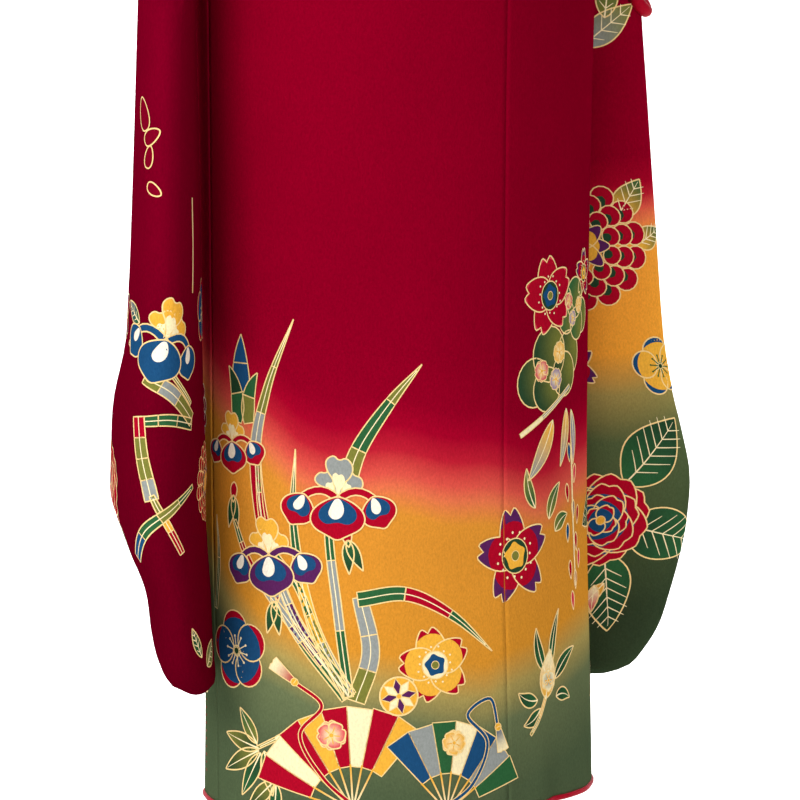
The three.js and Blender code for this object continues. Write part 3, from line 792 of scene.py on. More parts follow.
DYES = dye_run(
    (0.0, 126, 0, 28), (1.0, 74, 88, 61), (0.25, 128, 0, 29), (0.36, 134, 1, 31), (0.41, 152, 4, 36),
    (0.455, 176, 28, 46), (0.50, 206, 78, 66), (0.53, 214, 108, 70), (0.58, 208, 136, 46),
    (0.70, 203, 136, 42), (0.78, 160, 142, 80), (0.86, 98, 108, 74))
# The right sleeve's run of dyes, with its reds and yellows painted lighter than the body's: painted light
# where the lamps reach this sleeve less.
SLEEVE_DYES_WITH_PAINTED_LIGHT = dye_run(
    (0.0, 133, 0, 30), (1.0, 46, 58, 38), (0.25, 136, 0, 31), (0.37, 158, 6, 36), (0.43, 182, 30, 46),
    (0.49, 214, 82, 66), (0.53, 228, 118, 70), (0.58, 236, 152, 52), (0.70, 232, 154, 50),
    (0.78, 150, 134, 74), (0.86, 78, 92, 58))
# The left sleeve's red, running to a darker red that is painted shade.
WINE_TO_PAINTED_SHADE = dye_run((0.0, 114, 0, 28), (1.0, 92, 0, 21))
# Places on the run of dyes, from the foot of the green to the plain red.
DYE_MARKS = [1.0, 0.86, 0.78, 0.70, 0.58, 0.5, 0.4, 0.25, 0.0]
GROUND = Finish("silk_ground", attribute="dye", ramp=DYES)
# The right body length's ground: the same dyes made darker, painted shade for the body's right half, which
# turns away from the key lamp.
PAINTED_SHADE_GROUND = Finish("silk_ground_painted_shade", attribute="dye", ramp=DYES, depth=0.93)
SLEEVE_GROUND_WITH_PAINTED_LIGHT = Finish("silk_ground_sleeve", attribute="dye", ramp=SLEEVE_DYES_WITH_PAINTED_LIGHT)
# The left sleeve's red with its painted shade.
WINE = Finish("silk_wine", attribute="dye", ramp=WINE_TO_PAINTED_SHADE)
PLAIN = Finish("silk_plain_red", colour=srgb(132, 0, 30))
LINING = Finish("lining_red", colour=srgb(168, 4, 34), rough=0.5, grain=0.04, gloss=0.04)
PAINT = Finish("painted_silk", attribute="paint", grain=0.14, rough=0.6)
GOLD = Finish("gold_line", colour=srgb(240, 206, 138), rough=0.5, grain=0.1, gloss=0.1)
THREAD = Finish("red_thread", colour=srgb(150, 16, 40), rough=0.5, grain=0.0, gloss=0.1)
OLIVE_THREAD = Finish("olive_thread", colour=srgb(120, 112, 62), rough=0.5, grain=0.0, gloss=0.1)


# --- cloth pieces

@dataclass
class Silks:
    """The garment's materials, made once and shared by its pieces."""

    crepe: Tree = field(default_factory=crepe_group)
    made: dict[str, Material] = field(default_factory=dict)

    def of(self, finish: Finish) -> Material:
        """The material of a finish."""
        if finish.name not in self.made:
            self.made[finish.name] = finish.make(self.crepe)
        return self.made[finish.name]


def hang(piece: Piece, replaces: list[str]) -> None:
    """Fixes a piece to the garment's one body.

    Args:
        piece: the finished piece.
        replaces: the solids it stands for.
    """
    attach(piece, "root")
    if replaces:
        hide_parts(*replaces)


def sewn_sheet(name: str, rows: np.ndarray, silks: Silks, finish: Finish, replaces: list[str],
               looped: bool = False, wall: float = CLOTH) -> Piece:
    """A lined sheet of cloth from rows of points.

    Args:
        name: the piece's name.
        rows: its points, row by row.
        silks: the garment's materials.
        finish: the finish of its outside.
        replaces: the solids it stands for.
        looped: True where each row closes on itself.
        wall: its thickness in millimetres.

    Returns:
        The piece.
    """
    height, width = rows.shape[:2]
    piece = mesh_object(name, rows.reshape(-1, 3), grid_faces(height, width, looped=looped),
                        [silks.of(finish)])
    turn_out(piece)
    thicken(piece, wall, silks.of(LINING))
    hang(piece, replaces)
    return piece


@dataclass
class Panel:
    """One body length or one overlap, as a dyed and lined sheet."""

    length: BodyLength | Overlap
    silks: Silks
    kind: str
    finish: Finish

    def build(self) -> Piece:
        """Builds the sheet, its flat map and its dye."""
        points, plan = map(np.array, self.length.rows())
        word = self.length.side.word
        piece = sewn_sheet(f"cloth_{self.kind}_{word}", points, self.silks, self.finish,
                           [f"{self.kind}_{word}"])
        flat_places = plan.reshape(-1, 2)
        set_uv(piece, flat_places)
        set_floats(piece, "dye", [skirt_dye(a, z) for a, z in flat_places])
        return piece


@dataclass
class SeamAllowance:
    """The two turned edges that lie inside the centre-back seam, as one strip."""

    silks: Silks

    def build(self) -> Piece:
        """Builds the strip up to the nape."""
        halves = [BodyLength(side).rows() for side in (Side.LEFT, Side.RIGHT)]
        rows = []
        for (left, plan), (right, _) in zip(zip(*halves[0]), zip(*halves[1])):
            start = min(range(len(plan)), key=lambda i: abs(plan[i][0]))
            near = start + 1 if start == 0 else start - 1
            if abs(plan[start][0]) < 1:
                spots = [left[near], left[start], right[start], right[near]]
                rows.append([np.asarray(p) - self.inward(p) for p in spots])
        return sewn_sheet("seam_allowance_back", np.array(rows), self.silks, LINING, [],
                          wall=TURNED_EDGE)

    @staticmethod
    def inward(spot: Point) -> Point:
        """A short step from a point towards the middle of the hollow."""
        return np.array([0.0, spot[1], 0.0]) / max(1.0, abs(spot[1])) * 1.15


class Band(Enum):
    """The lengthwise bands round a sleeve: plain cloth and the three that are cut open."""

    SIDE = "side"
    CUFF = "cuff"
    ARM = "arm"
    FREE = "free"


@dataclass
class Sleeve:
    """One long hanging sleeve: a bag open at the armhole, the wrist and the body's side."""

    form: SleeveForm
    silks: Silks
    finish: Finish
    # Place on the ramp at each point; on the left sleeve this is painted shade.
    dye: Callable[[float, float], float]

    def turns(self, z: float) -> list[tuple[float, Band]]:
        """Places round the bag at one height, each with the band that starts there.

        Args:
            z: height above the hem.

        Returns:
            Turns in radians from the middle of the wrist edge, and bands.
        """
        x, _, _, thin, _, _ = self.form.section(z)
        cuff = math.asin(min(0.9, CUFF_HALF / thin))
        free = math.asin(min(0.9, EDGE_HALF / thin))
        line = float(np.interp(z, *zip(*ARMHOLE)))
        arm = math.acos(clamp((x - line) / thin, 0.13, 0.947)) if z >= ARMPIT else 0.326
        quarter, half = math.pi / 2, math.pi
        stops = [(-cuff, 4, Band.CUFF), (cuff, 14, Band.SIDE), (quarter - arm, 6, Band.ARM),
                 (quarter + arm, 12, Band.SIDE), (half - free, 4, Band.FREE),
                 (half + free, 32, Band.SIDE), (2 * half - cuff, 0, Band.CUFF)]
        return [(mix(start, end, i / count), band)
                for (start, count, band), (end, _, _) in zip(stops, stops[1:]) for i in range(count)]

    def heights(self) -> list[float]:
        """The rows' heights, closest together at the bag's ends and crinkles."""
        low, high = self.form.table[0][0], self.form.table[-1][0]
        marks = [low, low + 3, low + 8, low + 14, low + EDGE_LOW, *np.arange(low + 28, low + 150, 7.0),
                 *np.arange(low + 156, self.form.cuff_low - 8, 12.0), self.form.cuff_low,
                 *np.arange(self.form.cuff_low + 12, 872, 12.0),
                 CUFF_HIGH, *np.arange(890, EDGE_HIGH - 5, 12.0), EDGE_HIGH, 1024, 1038, 1050, 1063,
                 ARMPIT, *np.arange(1083, high - 12, 9.0), high - 7, high - 3, high]
        return [float(z) for z in sorted(marks) if low <= z <= high]

    def build(self) -> Piece:
        """Builds the bag with its openings, flat map and dye, which on the left sleeve is painted shade."""
        heights = self.heights()
        bands = [band for _, band in self.turns(600)]
        points, plan = [], []
        for z in heights:
            for turn, _ in self.turns(z):
                points.append(self.form.point(z, turn, 0.0))
                plan.append((self.form.section(z)[2] * math.cos(turn), z))
        low = self.form.table[0][0]

        def keep(j: int, i: int) -> bool:
            """Whether a patch lies outside every opening."""
            middle = (heights[j] + heights[j + 1]) / 2
            cut = {Band.CUFF: self.form.cuff_low < middle < CUFF_HIGH, Band.ARM: middle > ARMPIT,
                   Band.FREE: low + EDGE_LOW < middle < EDGE_HIGH}
            return not cut.get(bands[i], False)

        width = len(bands)
        faces = grid_faces(len(heights), width, keep, looped=True)
        top = (len(heights) - 1) * width
        whole = [i for i in range(width) if {bands[i], bands[i - 1]} != {Band.ARM}]
        for start, ring in ((0, list(range(width))[::-1]), (top, whole)):
            centre = np.mean([points[start + i] for i in ring], axis=0)
            points.append(centre)
            plan.append((0.0, heights[0] if start == 0 else heights[-1]))
            tip = len(points) - 1
            pairs = zip(ring, ring[1:] + ring[:1])
            faces += [(start + a, start + b, tip) for a, b in pairs
                      if start == 0 or bands[a] is not Band.ARM]
        name = f"cloth_sleeve_{self.form.side.word}"
        piece = mesh_object(name, np.array(points), faces, [self.silks.of(self.finish)])
        set_uv(piece, plan)
        set_floats(piece, "dye", [self.dye(a, z) for a, z in plan])
        reshape(piece, drop_loose)
        if self.form.side is Side.RIGHT:
            piece.data.flip_normals()
        thicken(piece, CLOTH, self.silks.of(LINING))
        hang(piece, [f"sleeve_{self.form.side.word}_{face}" for face in ("inner", "outer")])
        return piece


def cord(path: list[Point], radius: float | list[float],
         looped: bool = False) -> tuple[np.ndarray, list]:
    """A round roll through the given points.

    Args:
        path: the points of its middle line.
        radius: half its width, the same all along or one for each point.
        looped: True where it closes on itself.

    Returns:
        The points and the faces.
    """
    last, sides, points = len(path), ROLL_SIDES, []
    sizes = radius if isinstance(radius, list) else [radius] * last
    for j, spot in enumerate(path):
        ahead = path[(j + 1) % last] if looped else path[min(j + 1, last - 1)]
        behind = path[j - 1] if looped or j else path[0]
        run = np.asarray(ahead) - behind
        run = run / max(1e-9, np.linalg.norm(run))
        away = np.array([spot[0], spot[1], 0.0])
        across = np.cross(run, away / max(1e-9, np.linalg.norm(away)))
        across /= max(1e-9, np.linalg.norm(across))
        out = np.cross(across, run)
        points += [spot + sizes[j] * (across * math.cos(t) + out * math.sin(t))
                   for t in np.linspace(0, 2 * math.pi, sides, endpoint=False)]
    rows = last if looped else last - 1
    faces = [(j * sides + i, j * sides + (i + 1) % sides,
              (j + 1) % last * sides + (i + 1) % sides, (j + 1) % last * sides + i)
             for j in range(rows) for i in range(sides)]
    if not looped:
        faces += [tuple(range(sides))[::-1], tuple((last - 1) * sides + i for i in range(sides))]
    return np.array(points), faces


def rolled_edge(name: str, points: np.ndarray, faces: list, silks: Silks,
                replaces: list[str]) -> Piece:
    """A roll of lining as a piece."""
    piece = mesh_object(name, points, faces, [silks.of(LINING)])
    reshape(piece, mend_outside)
    hang(piece, replaces)
    return piece


@dataclass
class HemRoll:
    """The rolled red edge of the lining that shows below the hem."""

    side: Side
    silks: Silks

    def build(self) -> Piece:
        """Builds the three lengths of the roll as one piece."""
        word, points, faces = self.side.word, [], []
        seams = (0.0, FORM.back_width, FORM.front_seam_at, FORM.overlap_edge)
        for start, end in zip(seams, seams[1:]):
            count = int((end - start - SEAM_GAP) / 6)
            path = [FORM.point(HEM_ROLL_Z, self.side.value * a, self.lift(a))
                    for a in np.linspace(start + SEAM_GAP / 2, end - SEAM_GAP / 2, count)]
            ring, patches = cord(path, ROLL)
            faces += [tuple(len(points) + k for k in patch) for patch in patches]
            points += list(ring)
        return rolled_edge(f"hem_rolls_{word}", np.array(points), faces, self.silks,
                           [f"hem_roll_{kind}_{word}" for kind in ("back", "front", "overlap")])

    def lift(self, along: float) -> float:
        """How far out the roll lies, by the layer of its front."""
        return FORM.out((1, 0, 0), FORM.lap(HEM_ROLL_Z, along), self.side)


@dataclass
class CuffRoll:
    """The rolled red edge of the lining round a wrist opening."""

    form: SleeveForm
    silks: Silks
    swell: float = 0.0

    def build(self) -> Piece:
        """Builds the roll."""
        path, sizes, inset = [], [], CUFF_HALF - ROLL
        for turn in np.linspace(0, 2 * math.pi, 84, endpoint=False):
            z = mix(self.form.cuff_low + 4 - 1.4 * self.swell, CUFF_HIGH - 4, (1 - math.cos(turn)) / 2)
            slack = math.exp(-(((z - self.form.cuff_low) / 26) ** 2))
            sizes.append(2.0 + self.swell * 0.5 * slack)
            wave = math.sin(turn)
            side = inset * math.copysign(min(1.0, 2.4 * abs(wave)), wave)
            long, thin = self.form.section(z)[2:4]
            run = (long - 1) * math.sqrt(1 - (side / (thin - 1)) ** 2) + 0.7 * self.swell * slack
            path.append(self.form.spot(z, run, side))
        points, faces = cord(path, sizes, looped=True)
        word = self.form.side.word
        return rolled_edge(f"cuff_edge_{word}", points, faces, self.silks, [f"cuff_roll_{word}"])


@dataclass
class WaistTie:
    """The flat tie that holds the wrap and the tuck at the waist."""

    silks: Silks

    @staticmethod
    def out(along: float) -> float:
        """How far out the tie lies, over the layers of the wrap."""
        return mix(10, 27, ease((abs(along) - 188) / 76)) + 3.5

    def build(self) -> Piece:
        """Builds the tie."""
        steps, rows = 160, 7
        girth = 4 * FORM.quarter(WAIST)
        points = np.empty((rows, steps, 3))
        for k in range(rows):
            z = mix(TIE_LOW, TIE_HIGH, k / (rows - 1))
            bulge = 0.5 * math.sin(math.pi * k / (rows - 1))
            for i in range(steps):
                along = mix(-girth / 2, girth / 2, (i + 0.5) / steps)
                out = self.out(along) + bulge + 0.25 * math.sin(along / 23 + k)
                points[k, i] = FORM.point(z, along, out)
        return sewn_sheet("waist_tie_cloth", points, self.silks, PLAIN, ["waist_tie"], looped=True)


COLLAR_WIDE, COLLAR_LEAN = 32.0, 11.0
# Share of the way, then how far the band stands out from its seam across, back and up.
COLLAR_STEPS = [(0.0, -33, 3, 32), (0.25, -34, 8, 31), (0.5, -33, 2, 32), (0.75, -26, -8, 38),
                (1.0, -11, -4, 44), (1.5, 1, 5, 45), (2.0, 0, 12, 44)]


@dataclass
class Collar:
    """The folded band from the left front round the neck to the right front."""

    silks: Silks

    def step(self, share: float, side: Side) -> Point:
        """How the collar stands out from its seam at a share of its way."""
        x, y, z = smooth_row(COLLAR_STEPS, share)
        lean = COLLAR_LEAN * (1 - ease(share)) if side is Side.RIGHT else 0
        return np.array([x, y + lean, z])

    def half(self, side: Side) -> Rows:
        """Rows from a front's lap to the nape.

        Args:
            side: which half of the band.

        Returns:
            The rows of points, each from the seam to the free edge.
        """
        rows, across = [], np.linspace(0, 1, 10)
        out = FORM.layers[side.word][2]
        for z in (1050, 1060, 1070, 1078, 1086, 1094, 1103, 1112, 1121, 1129, 1134):
            reach = FORM.lap_end(z) + COLLAR_GAP
            lean = COLLAR_LEAN * ease((z - FORM.chest_z) / 80) if side is Side.RIGHT else 0
            rows.append([FORM.point(z + COLLAR_WIDE * k, side.value * (reach + COLLAR_WIDE * k),
                                    out - lean * k) for k in across])
        shares = [i / 60 for i in range(13, 60)]
        front = [(curve(neck_edge(side, Face.FRONT), q), self.step((q - 0.2) / 0.8, side))
                 for q in shares]
        back = [(curve(neck_edge(side, Face.BACK), q), self.step(1 + (1 - q) / 0.5, side))
                for q in [1.0, *[q for q in shares[::-1] if q >= 0.5]]]
        for sewn, stand in front + back:
            start = np.asarray(sewn) - stand / np.linalg.norm(stand) * 0.3
            rows.append([(start + stand * k) * (side.value, 1, 1) for k in across])
        return rows

    def build(self) -> Piece:
        """Builds the collar."""
        left, right = self.half(Side.LEFT), self.half(Side.RIGHT)
        points = np.array(right + left[:-1][::-1])
        return sewn_sheet("collar_band", points, self.silks, PLAIN, ["collar"])


def stitch_tree() -> Tree:
    """The node tree that sews small stitches along loose edges."""
    tree = bpy.data.node_groups.new("hand_stitches", "GeometryNodeTree")
    kinds = {"Seam": "Geometry", "Spacing": "Float", "Length": "Float", "Width": "Float",
             "Thread": "Material"}
    for name, kind in kinds.items():
        tree.interface.new_socket(name, in_out="INPUT", socket_type=f"NodeSocket{kind}")
    tree.interface.new_socket("Stitches", in_out="OUTPUT", socket_type="NodeSocketGeometry")
    nodes = Nodes(tree)
    start, end = nodes.add("NodeGroupInput"), nodes.add("NodeGroupOutput")
    line = nodes.add("GeometryNodeMeshToCurve", Mesh=start.outputs["Seam"])
    even = nodes.add("GeometryNodeResampleCurve", mode="LENGTH", Curve=line.outputs[0],
                     Length=start.outputs["Spacing"])
    run = nodes.add("GeometryNodeInputTangent")
    turn = nodes.add("FunctionNodeAlignRotationToVector", axis="Z", Vector=run.outputs[0])
    chance = nodes.add("FunctionNodeRandomValue", data_type="FLOAT", Seed=7)
    chance.inputs[2].default_value, chance.inputs[3].default_value = 0.8, 1.2
    reach = nodes.add("ShaderNodeMath", start.outputs["Length"], chance.outputs["Value"],
                      operation="MULTIPLY")
    size = nodes.add("ShaderNodeCombineXYZ", X=start.outputs["Width"], Y=start.outputs["Width"],
                     Z=reach.outputs[0])
    bead = nodes.add("GeometryNodeMeshUVSphere", Segments=6, Rings=4, Radius=0.5)
    sewn = nodes.add("GeometryNodeInstanceOnPoints", Points=even.outputs[0],
                     Instance=bead.outputs["Mesh"], Rotation=turn.outputs[0], Scale=size.outputs[0])
    real = nodes.add("GeometryNodeRealizeInstances", Geometry=sewn.outputs[0])
    inked = nodes.add("GeometryNodeSetMaterial", Geometry=real.outputs[0],
                      Material=start.outputs["Thread"])
    nodes.link(inked.outputs[0], end.inputs["Stitches"])
    return tree


@dataclass
class Stitches:
    """Small hand stitches that hold turned edges down."""

    silks: Silks
    tree: Tree
    name: str
    finish: Finish
    paths: list[list[Point]]
    spacing: float = 7.0
    length: float = 3.0
    width: float = 0.45

    def build(self) -> Piece:
        """Builds the stitches as one plain mesh."""
        points, edges = [], []
        for path in self.paths:
            edges += [(len(points) + k, len(points) + k + 1) for k in range(len(path) - 1)]
            points += path
        guide = mesh_object("seam_guide", np.array(points), [], [], edges)
        sewing = guide.modifiers.new("Sewing", "NODES")
        sewing.node_group = self.tree
        values = {"Spacing": self.spacing * MM, "Length": self.length * MM,
                  "Width": self.width * MM, "Thread": self.silks.of(self.finish)}
        for socket in self.tree.interface.items_tree:
            if socket.name in values:
                sewing[socket.identifier] = values[socket.name]
        shown = guide.evaluated_get(bpy.context.evaluated_depsgraph_get())
        piece = show(self.name, bpy.data.meshes.new_from_object(shown))
        bpy.data.objects.remove(guide)
        hang(piece, [])
        return piece


def overlap_edge(side: Side, low: float, high: float) -> list[Point]:
    """The stitch line along an overlap's free edge."""
    along = side.value * (FORM.overlap_edge - 4.5)
    return [body_place(along, z, STITCH_LIFT) for z in np.arange(low, high, 6.0)]


def bag_edges(form: SleeveForm, low: float, high: float) -> Rows:
    """The stitch lines beside a sleeve's open edge, between two heights."""
    paths = []
    for way in (-1, 1):
        path = []
        for z in np.arange(low, high, 8.0):
            thin = form.section(z)[3]
            turn = math.pi + way * (math.asin(min(0.9, EDGE_HALF / thin)) + 0.16)
            path.append(form.point(z, turn, STITCH_LIFT))
        paths.append(path)
    return paths


def tie_edge(z: float) -> list[Point]:
    """The stitch line along one edge of the waist tie."""
    half = 2 * FORM.quarter(WAIST)
    return [FORM.point(z, a, WaistTie.out(a) + STITCH_LIFT) for a in np.linspace(-half, half, 220)]


def sewing(silks: Silks) -> list[Stitches]:
    """All the hand stitches, red on the red dye and olive on the yellow and green.

    Args:
        silks: the garment's materials.

    Returns:
        The two groups of stitches.
    """
    tree, sides = stitch_tree(), (Side.LEFT, Side.RIGHT)
    red = [overlap_edge(side, 350, 925) for side in sides]
    red += bag_edges(LEFT_BAG, 40, 990) + bag_edges(RIGHT_BAG, 560, 990)
    red += [tie_edge(TIE_LOW + 3.6), tie_edge(TIE_HIGH - 3.6)]
    olive = [overlap_edge(side, 16, 344) for side in sides] + bag_edges(RIGHT_BAG, 60, 552)
    return [Stitches(silks, tree, "red_hand_stitches", THREAD, red),
            Stitches(silks, tree, "olive_hand_stitches", OLIVE_THREAD, olive)]


# --- motifs

RED, ROSE, BLUE = srgb(164, 10, 36), srgb(206, 60, 76), srgb(28, 72, 112)
PURPLE, VIOLET, GOLD_DYE = srgb(84, 34, 84), srgb(140, 116, 150), srgb(232, 170, 58)
OLIVE, GREEN, MOSS = srgb(118, 118, 52), srgb(44, 92, 54), srgb(36, 64, 42)
GREY, CREAM, WHITE = srgb(142, 146, 142), srgb(244, 226, 178), srgb(240, 232, 212)
BERRY = srgb(120, 4, 30)


@dataclass(frozen=True)
class Patch:
    """A flat painted shape in a motif's own millimetres."""

    outline: Shape
    inner: Colour
    outer: Colour
    lift: float = 0.0
    line: float = 1.5


def flat(outline: Shape, tint: Colour, lift: float = 0.0, line: float = 1.5) -> Patch:
    """A painted shape of one colour."""
    return Patch(outline, tint, tint, lift, line)


def dot(radius: float, tint: Colour, lift: float, line: float = 0.8, count: int = 10,
        at: tuple[float, float] = (0.0, 0.0)) -> Patch:
    """A round dot of one colour."""
    return flat(turned(disc(radius, count), 0, *at), tint, lift, line)


def petal(length: float, width: float, notch: float = 0.0, point: float = 0.0,
          count: int = 22) -> Shape:
    """A petal's outline from its base at the origin, upwards.

    Args:
        length: from base to tip.
        width: at its widest.
        notch: depth of the cleft at the tip.
        point: how drawn out the tip is.
        count: number of points.

    Returns:
        The outline.
    """
    shape = []
    for i in range(count):
        t = 2 * math.pi * i / count
        y = length * (0.5 - 0.5 * math.cos(t))
        full = math.sin(math.pi * (y / length) ** 0.72) ** (0.62 + point)
        x = width / 2 * full * (1 if t < math.pi else -1)
        if abs(t - math.pi) < 0.5:
            y -= notch * (1 - abs(t - math.pi) / 0.5)
        shape.append((x, y))
    return shape


def turned(shape: Shape, angle: float, dx: float = 0.0, dy: float = 0.0) -> Shape:
    """A shape turned anticlockwise by degrees and moved."""
    c, s = math.cos(math.radians(angle)), math.sin(math.radians(angle))
    return tuple((x * c - y * s + dx, x * s + y * c + dy) for x, y in shape)


def disc(radius: float, count: int = 16) -> Shape:
    """A round outline about the origin."""
    return [(radius * math.cos(2 * math.pi * i / count), radius * math.sin(2 * math.pi * i / count))
            for i in range(count)]


def ribbon(path: Shape, widths: list[float]) -> Shape:
    """A band of changing width along a path."""
    left, right = [], []
    for i, (x, y) in enumerate(path):
        ax, ay = path[max(0, i - 1)]
        bx, by = path[min(len(path) - 1, i + 1)]
        size = max(1e-6, math.hypot(bx - ax, by - ay))
        nx, ny = -(by - ay) / size, (bx - ax) / size
        half = widths[i] / 2
        left.append((x + nx * half, y + ny * half))
        right.append((x - nx * half, y - ny * half))
    return left + right[::-1]


def bow(start: tuple[float, float], end: tuple[float, float], sag: float, count: int = 12) -> Shape:
    """A path that bows to its left by a distance.

    Args:
        start, end: its ends.
        sag: how far its middle bows out.
        count: number of points.

    Returns:
        The path.
    """
    (ax, ay), (bx, by) = start, end
    size = max(1e-6, math.hypot(bx - ax, by - ay))
    nx, ny = -(by - ay) / size, (bx - ax) / size
    path = []
    for i in range(count):
        t = i / (count - 1)
        out = 4 * sag * t * (1 - t)
        path.append((mix(ax, bx, t) + nx * out, mix(ay, by, t) + ny * out))
    return path


RING_LIFT, PETAL_LIFT = 0.18, 0.06


def stack(i: int, count: int, ring: int = 0) -> float:
    """The height of a petal's paint, so that it covers its neighbours' lines."""
    return RING_LIFT * ring + PETAL_LIFT * (2 if count % 2 and i == count - 1 else i % 2)


def rounded(shape: Shape) -> Shape:
    """An outline with its corners cut off twice."""
    for _ in range(2):
        shape = [(mix(x, u, t), mix(y, v, t)) for (x, y), (u, v) in zip(shape, shape[1:] + shape[:1])
                 for t in (0.25, 0.75)]
    return shape


def stamens(radius: float, count: int, reach: tuple[float, float, float], width: float,
            tint: Colour, start: float = 0.0, sides: int = 8) -> list[Patch]:
    """Hairs with a dot at each end, in a ring.

    Args:
        radius: the flower's radius.
        count: number of hairs.
        reach: where a hair starts and ends and where its dot lies, as shares of the radius.
        width: the hairs' width.
        tint: their colour.
        start: where the first one stands, in steps of the ring.
        sides: number of a dot's sides.

    Returns:
        The hairs and dots.
    """
    hair = ribbon(bow((0, radius * reach[0]), (0, radius * reach[1]), 0, 4), [width] * 4)
    knob = turned(disc(radius * 0.035, sides), 0, 0, radius * reach[2])
    return [flat(turned(shape, 360 * (i + start) / count), tint, 0.2, 0)
            for i in range(count) for shape in (hair, knob)]


def blossom(radius: float, petals: int, colours: tuple[Colour, Colour],
            notch: float = 0.16) -> list[Patch]:
    """An open flower of equal petals with a round heart and stamens."""
    wide = radius * 2 * math.sin(math.pi / petals) * 1.18 * 0.92
    shape = petal(radius * 0.92, wide, radius * notch)
    parts = [Patch(turned(shape, 360 * i / petals), *colours, stack(i, petals)) for i in range(petals)]
    parts += stamens(radius, petals, (0.12, 0.46, 0.5), 0.9, GOLD_DYE, 0.5)
    return [*parts, dot(radius * 0.15, GOLD_DYE, 0.24, 1.0, 16)]


def tipped(shape: Shape, base: Colour, tip: Colour, cut: float, turn: float, lift: float,
           line: float = 1.5) -> list[Patch]:
    """A petal in two flat colours that meet on an arc.

    Args:
        shape: the petal from its base at the origin, upwards.
        base: colour next to the heart.
        tip: colour of the tip.
        cut: height of the arc as a share of the petal.
        turn: degrees to turn the petal.
        lift: height of the paint.
        line: width of the resist line.

    Returns:
        The petal and its tip.
    """
    tall = max(y for _, y in shape)
    upper = [(x, y) for x, y in shape if y > cut * tall]
    parts = [flat(turned(shape, turn), base, lift, line)]
    if len(upper) > 2:
        (ax, ay), (bx, by) = upper[-1], upper[0]
        arc = [(mix(ax, bx, t), mix(ay, by, t) + 0.14 * tall * 4 * t * (1 - t))
               for t in (0.2, 0.4, 0.6, 0.8)]
        parts.append(flat(turned(upper + arc, turn), tip, lift + 0.03, 0))
    return parts


def cherry(radius: float, base: Colour = RED, tip: Colour = PURPLE, heart: Colour = GOLD_DYE,
           ring: Colour = MOSS, slim: float = 0.66, cut: float = 0.58) -> list[Patch]:
    """A cherry flower of five apart, cleft petals round a ringed heart.

    Args:
        radius: the flower's radius.
        base, tip: colours of the petals next to the heart and at their tips.
        heart, ring: colours of the star in the middle and of the disc under it.
        slim: a petal's width over its length.
        cut: where the two colours of a petal meet, as a share of it.

    Returns:
        The shapes.
    """
    parts = []
    for i in range(5):
        shape = petal(radius, radius * slim, radius * 0.2, -0.12, 30)
        parts += tipped(shape, base, tip, cut, 72 * i, stack(i, 5))
    parts.append(dot(radius * 0.34, ring, 0.2, 1.2, 22))
    star = [(radius * r * math.cos(a), radius * r * math.sin(a)) for r, a in (
        ((0.31, 0.22)[k % 2], math.pi * k / 5 + 0.3) for k in range(10))]
    parts.append(flat(rounded(star), heart, 0.26, 0))
    parts.append(dot(radius * 0.1, OLIVE, 0.32, 0.8, 12))
    for i in range(15):
        speck = turned(disc(radius * 0.028, 6), 0, 0, radius * (0.4 if i % 2 else 0.46))
        parts.append(flat(turned(speck, 24 * i), CREAM, 0.26, 0))
    return parts


def plum(radius: float, base: Colour = BLUE, tip: Colour = RED, heart: Colour = CREAM) -> list[Patch]:
    """A flower of five round petals with a fan of stamens."""
    parts = []
    shape = [(x * radius * 0.46, radius * 0.56 + y * radius * 0.44) for x, y in disc(1.0, 22)]
    for i in range(5):
        parts += tipped(shape[-6:] + shape[:-6], base, tip, 0.62, 72 * i, stack(i, 5))
    parts += stamens(radius, 10, (0.04, 0.34, 0.37), 1.0, heart, sides=6)
    return [*parts, dot(radius * 0.09, MOSS, 0.26)]


def chrysanthemum(radius: float, colours: tuple[Colour, Colour] = (RED, PURPLE)) -> list[Patch]:
    """A round flower of scalloped petals in rings, with a small flower in its middle."""
    parts = []
    for ring, (count, reach) in enumerate([(14, 0.86), (12, 0.68), (10, 0.5)]):
        size = radius * reach * 2.9 / count
        shape = [(x * size, radius * reach + (y - 0.25) * size * 0.9) for x, y in disc(1.0, 14)]
        dark = [(x * size * 0.5, radius * reach + (y * 0.6 - 0.75) * size) for x, y in disc(1.0, 8)]
        for i in range(count):
            turn, lift = 360 * (i + 0.5 * (ring % 2)) / count, stack(i, count, ring)
            parts.append(flat(turned(shape, turn), colours[0], lift, 1.3))
            parts.append(flat(turned(dark, turn), MOSS, lift + 0.02, 0))
    for i in range(8):
        shape = petal(radius * 0.42, radius * 0.24, 0, -0.1, 16)
        parts += tipped(shape, GOLD_DYE, colours[1], 0.36, 45 * i, stack(i, 8, 3), 1.2)
    return [*parts, dot(radius * 0.1, GOLD_DYE, 0.7, 1.0, 12)]


def peony(radius: float, colours: tuple[Colour, Colour] = (ROSE, RED)) -> list[Patch]:
    """A full flower of broad ruffled petals in layers."""
    parts = []
    rings = [(8, 1.0, 12), (6, 0.78, 40), (6, 0.56, 15), (4, 0.34, 50)]
    for ring, (count, size, turn) in enumerate(rings):
        shape = petal(radius * size, radius * size * 1.05, radius * 0.1 * size, -0.16, 26)
        for i in range(count):
            base = colours[0] if (i + ring) % 3 else BLUE
            parts += tipped(shape, base, colours[1], 0.5, 360 * i / count + turn, stack(i, count, ring))
    return [*parts, dot(radius * 0.09, GOLD_DYE, 0.74, 1.0, 12)]


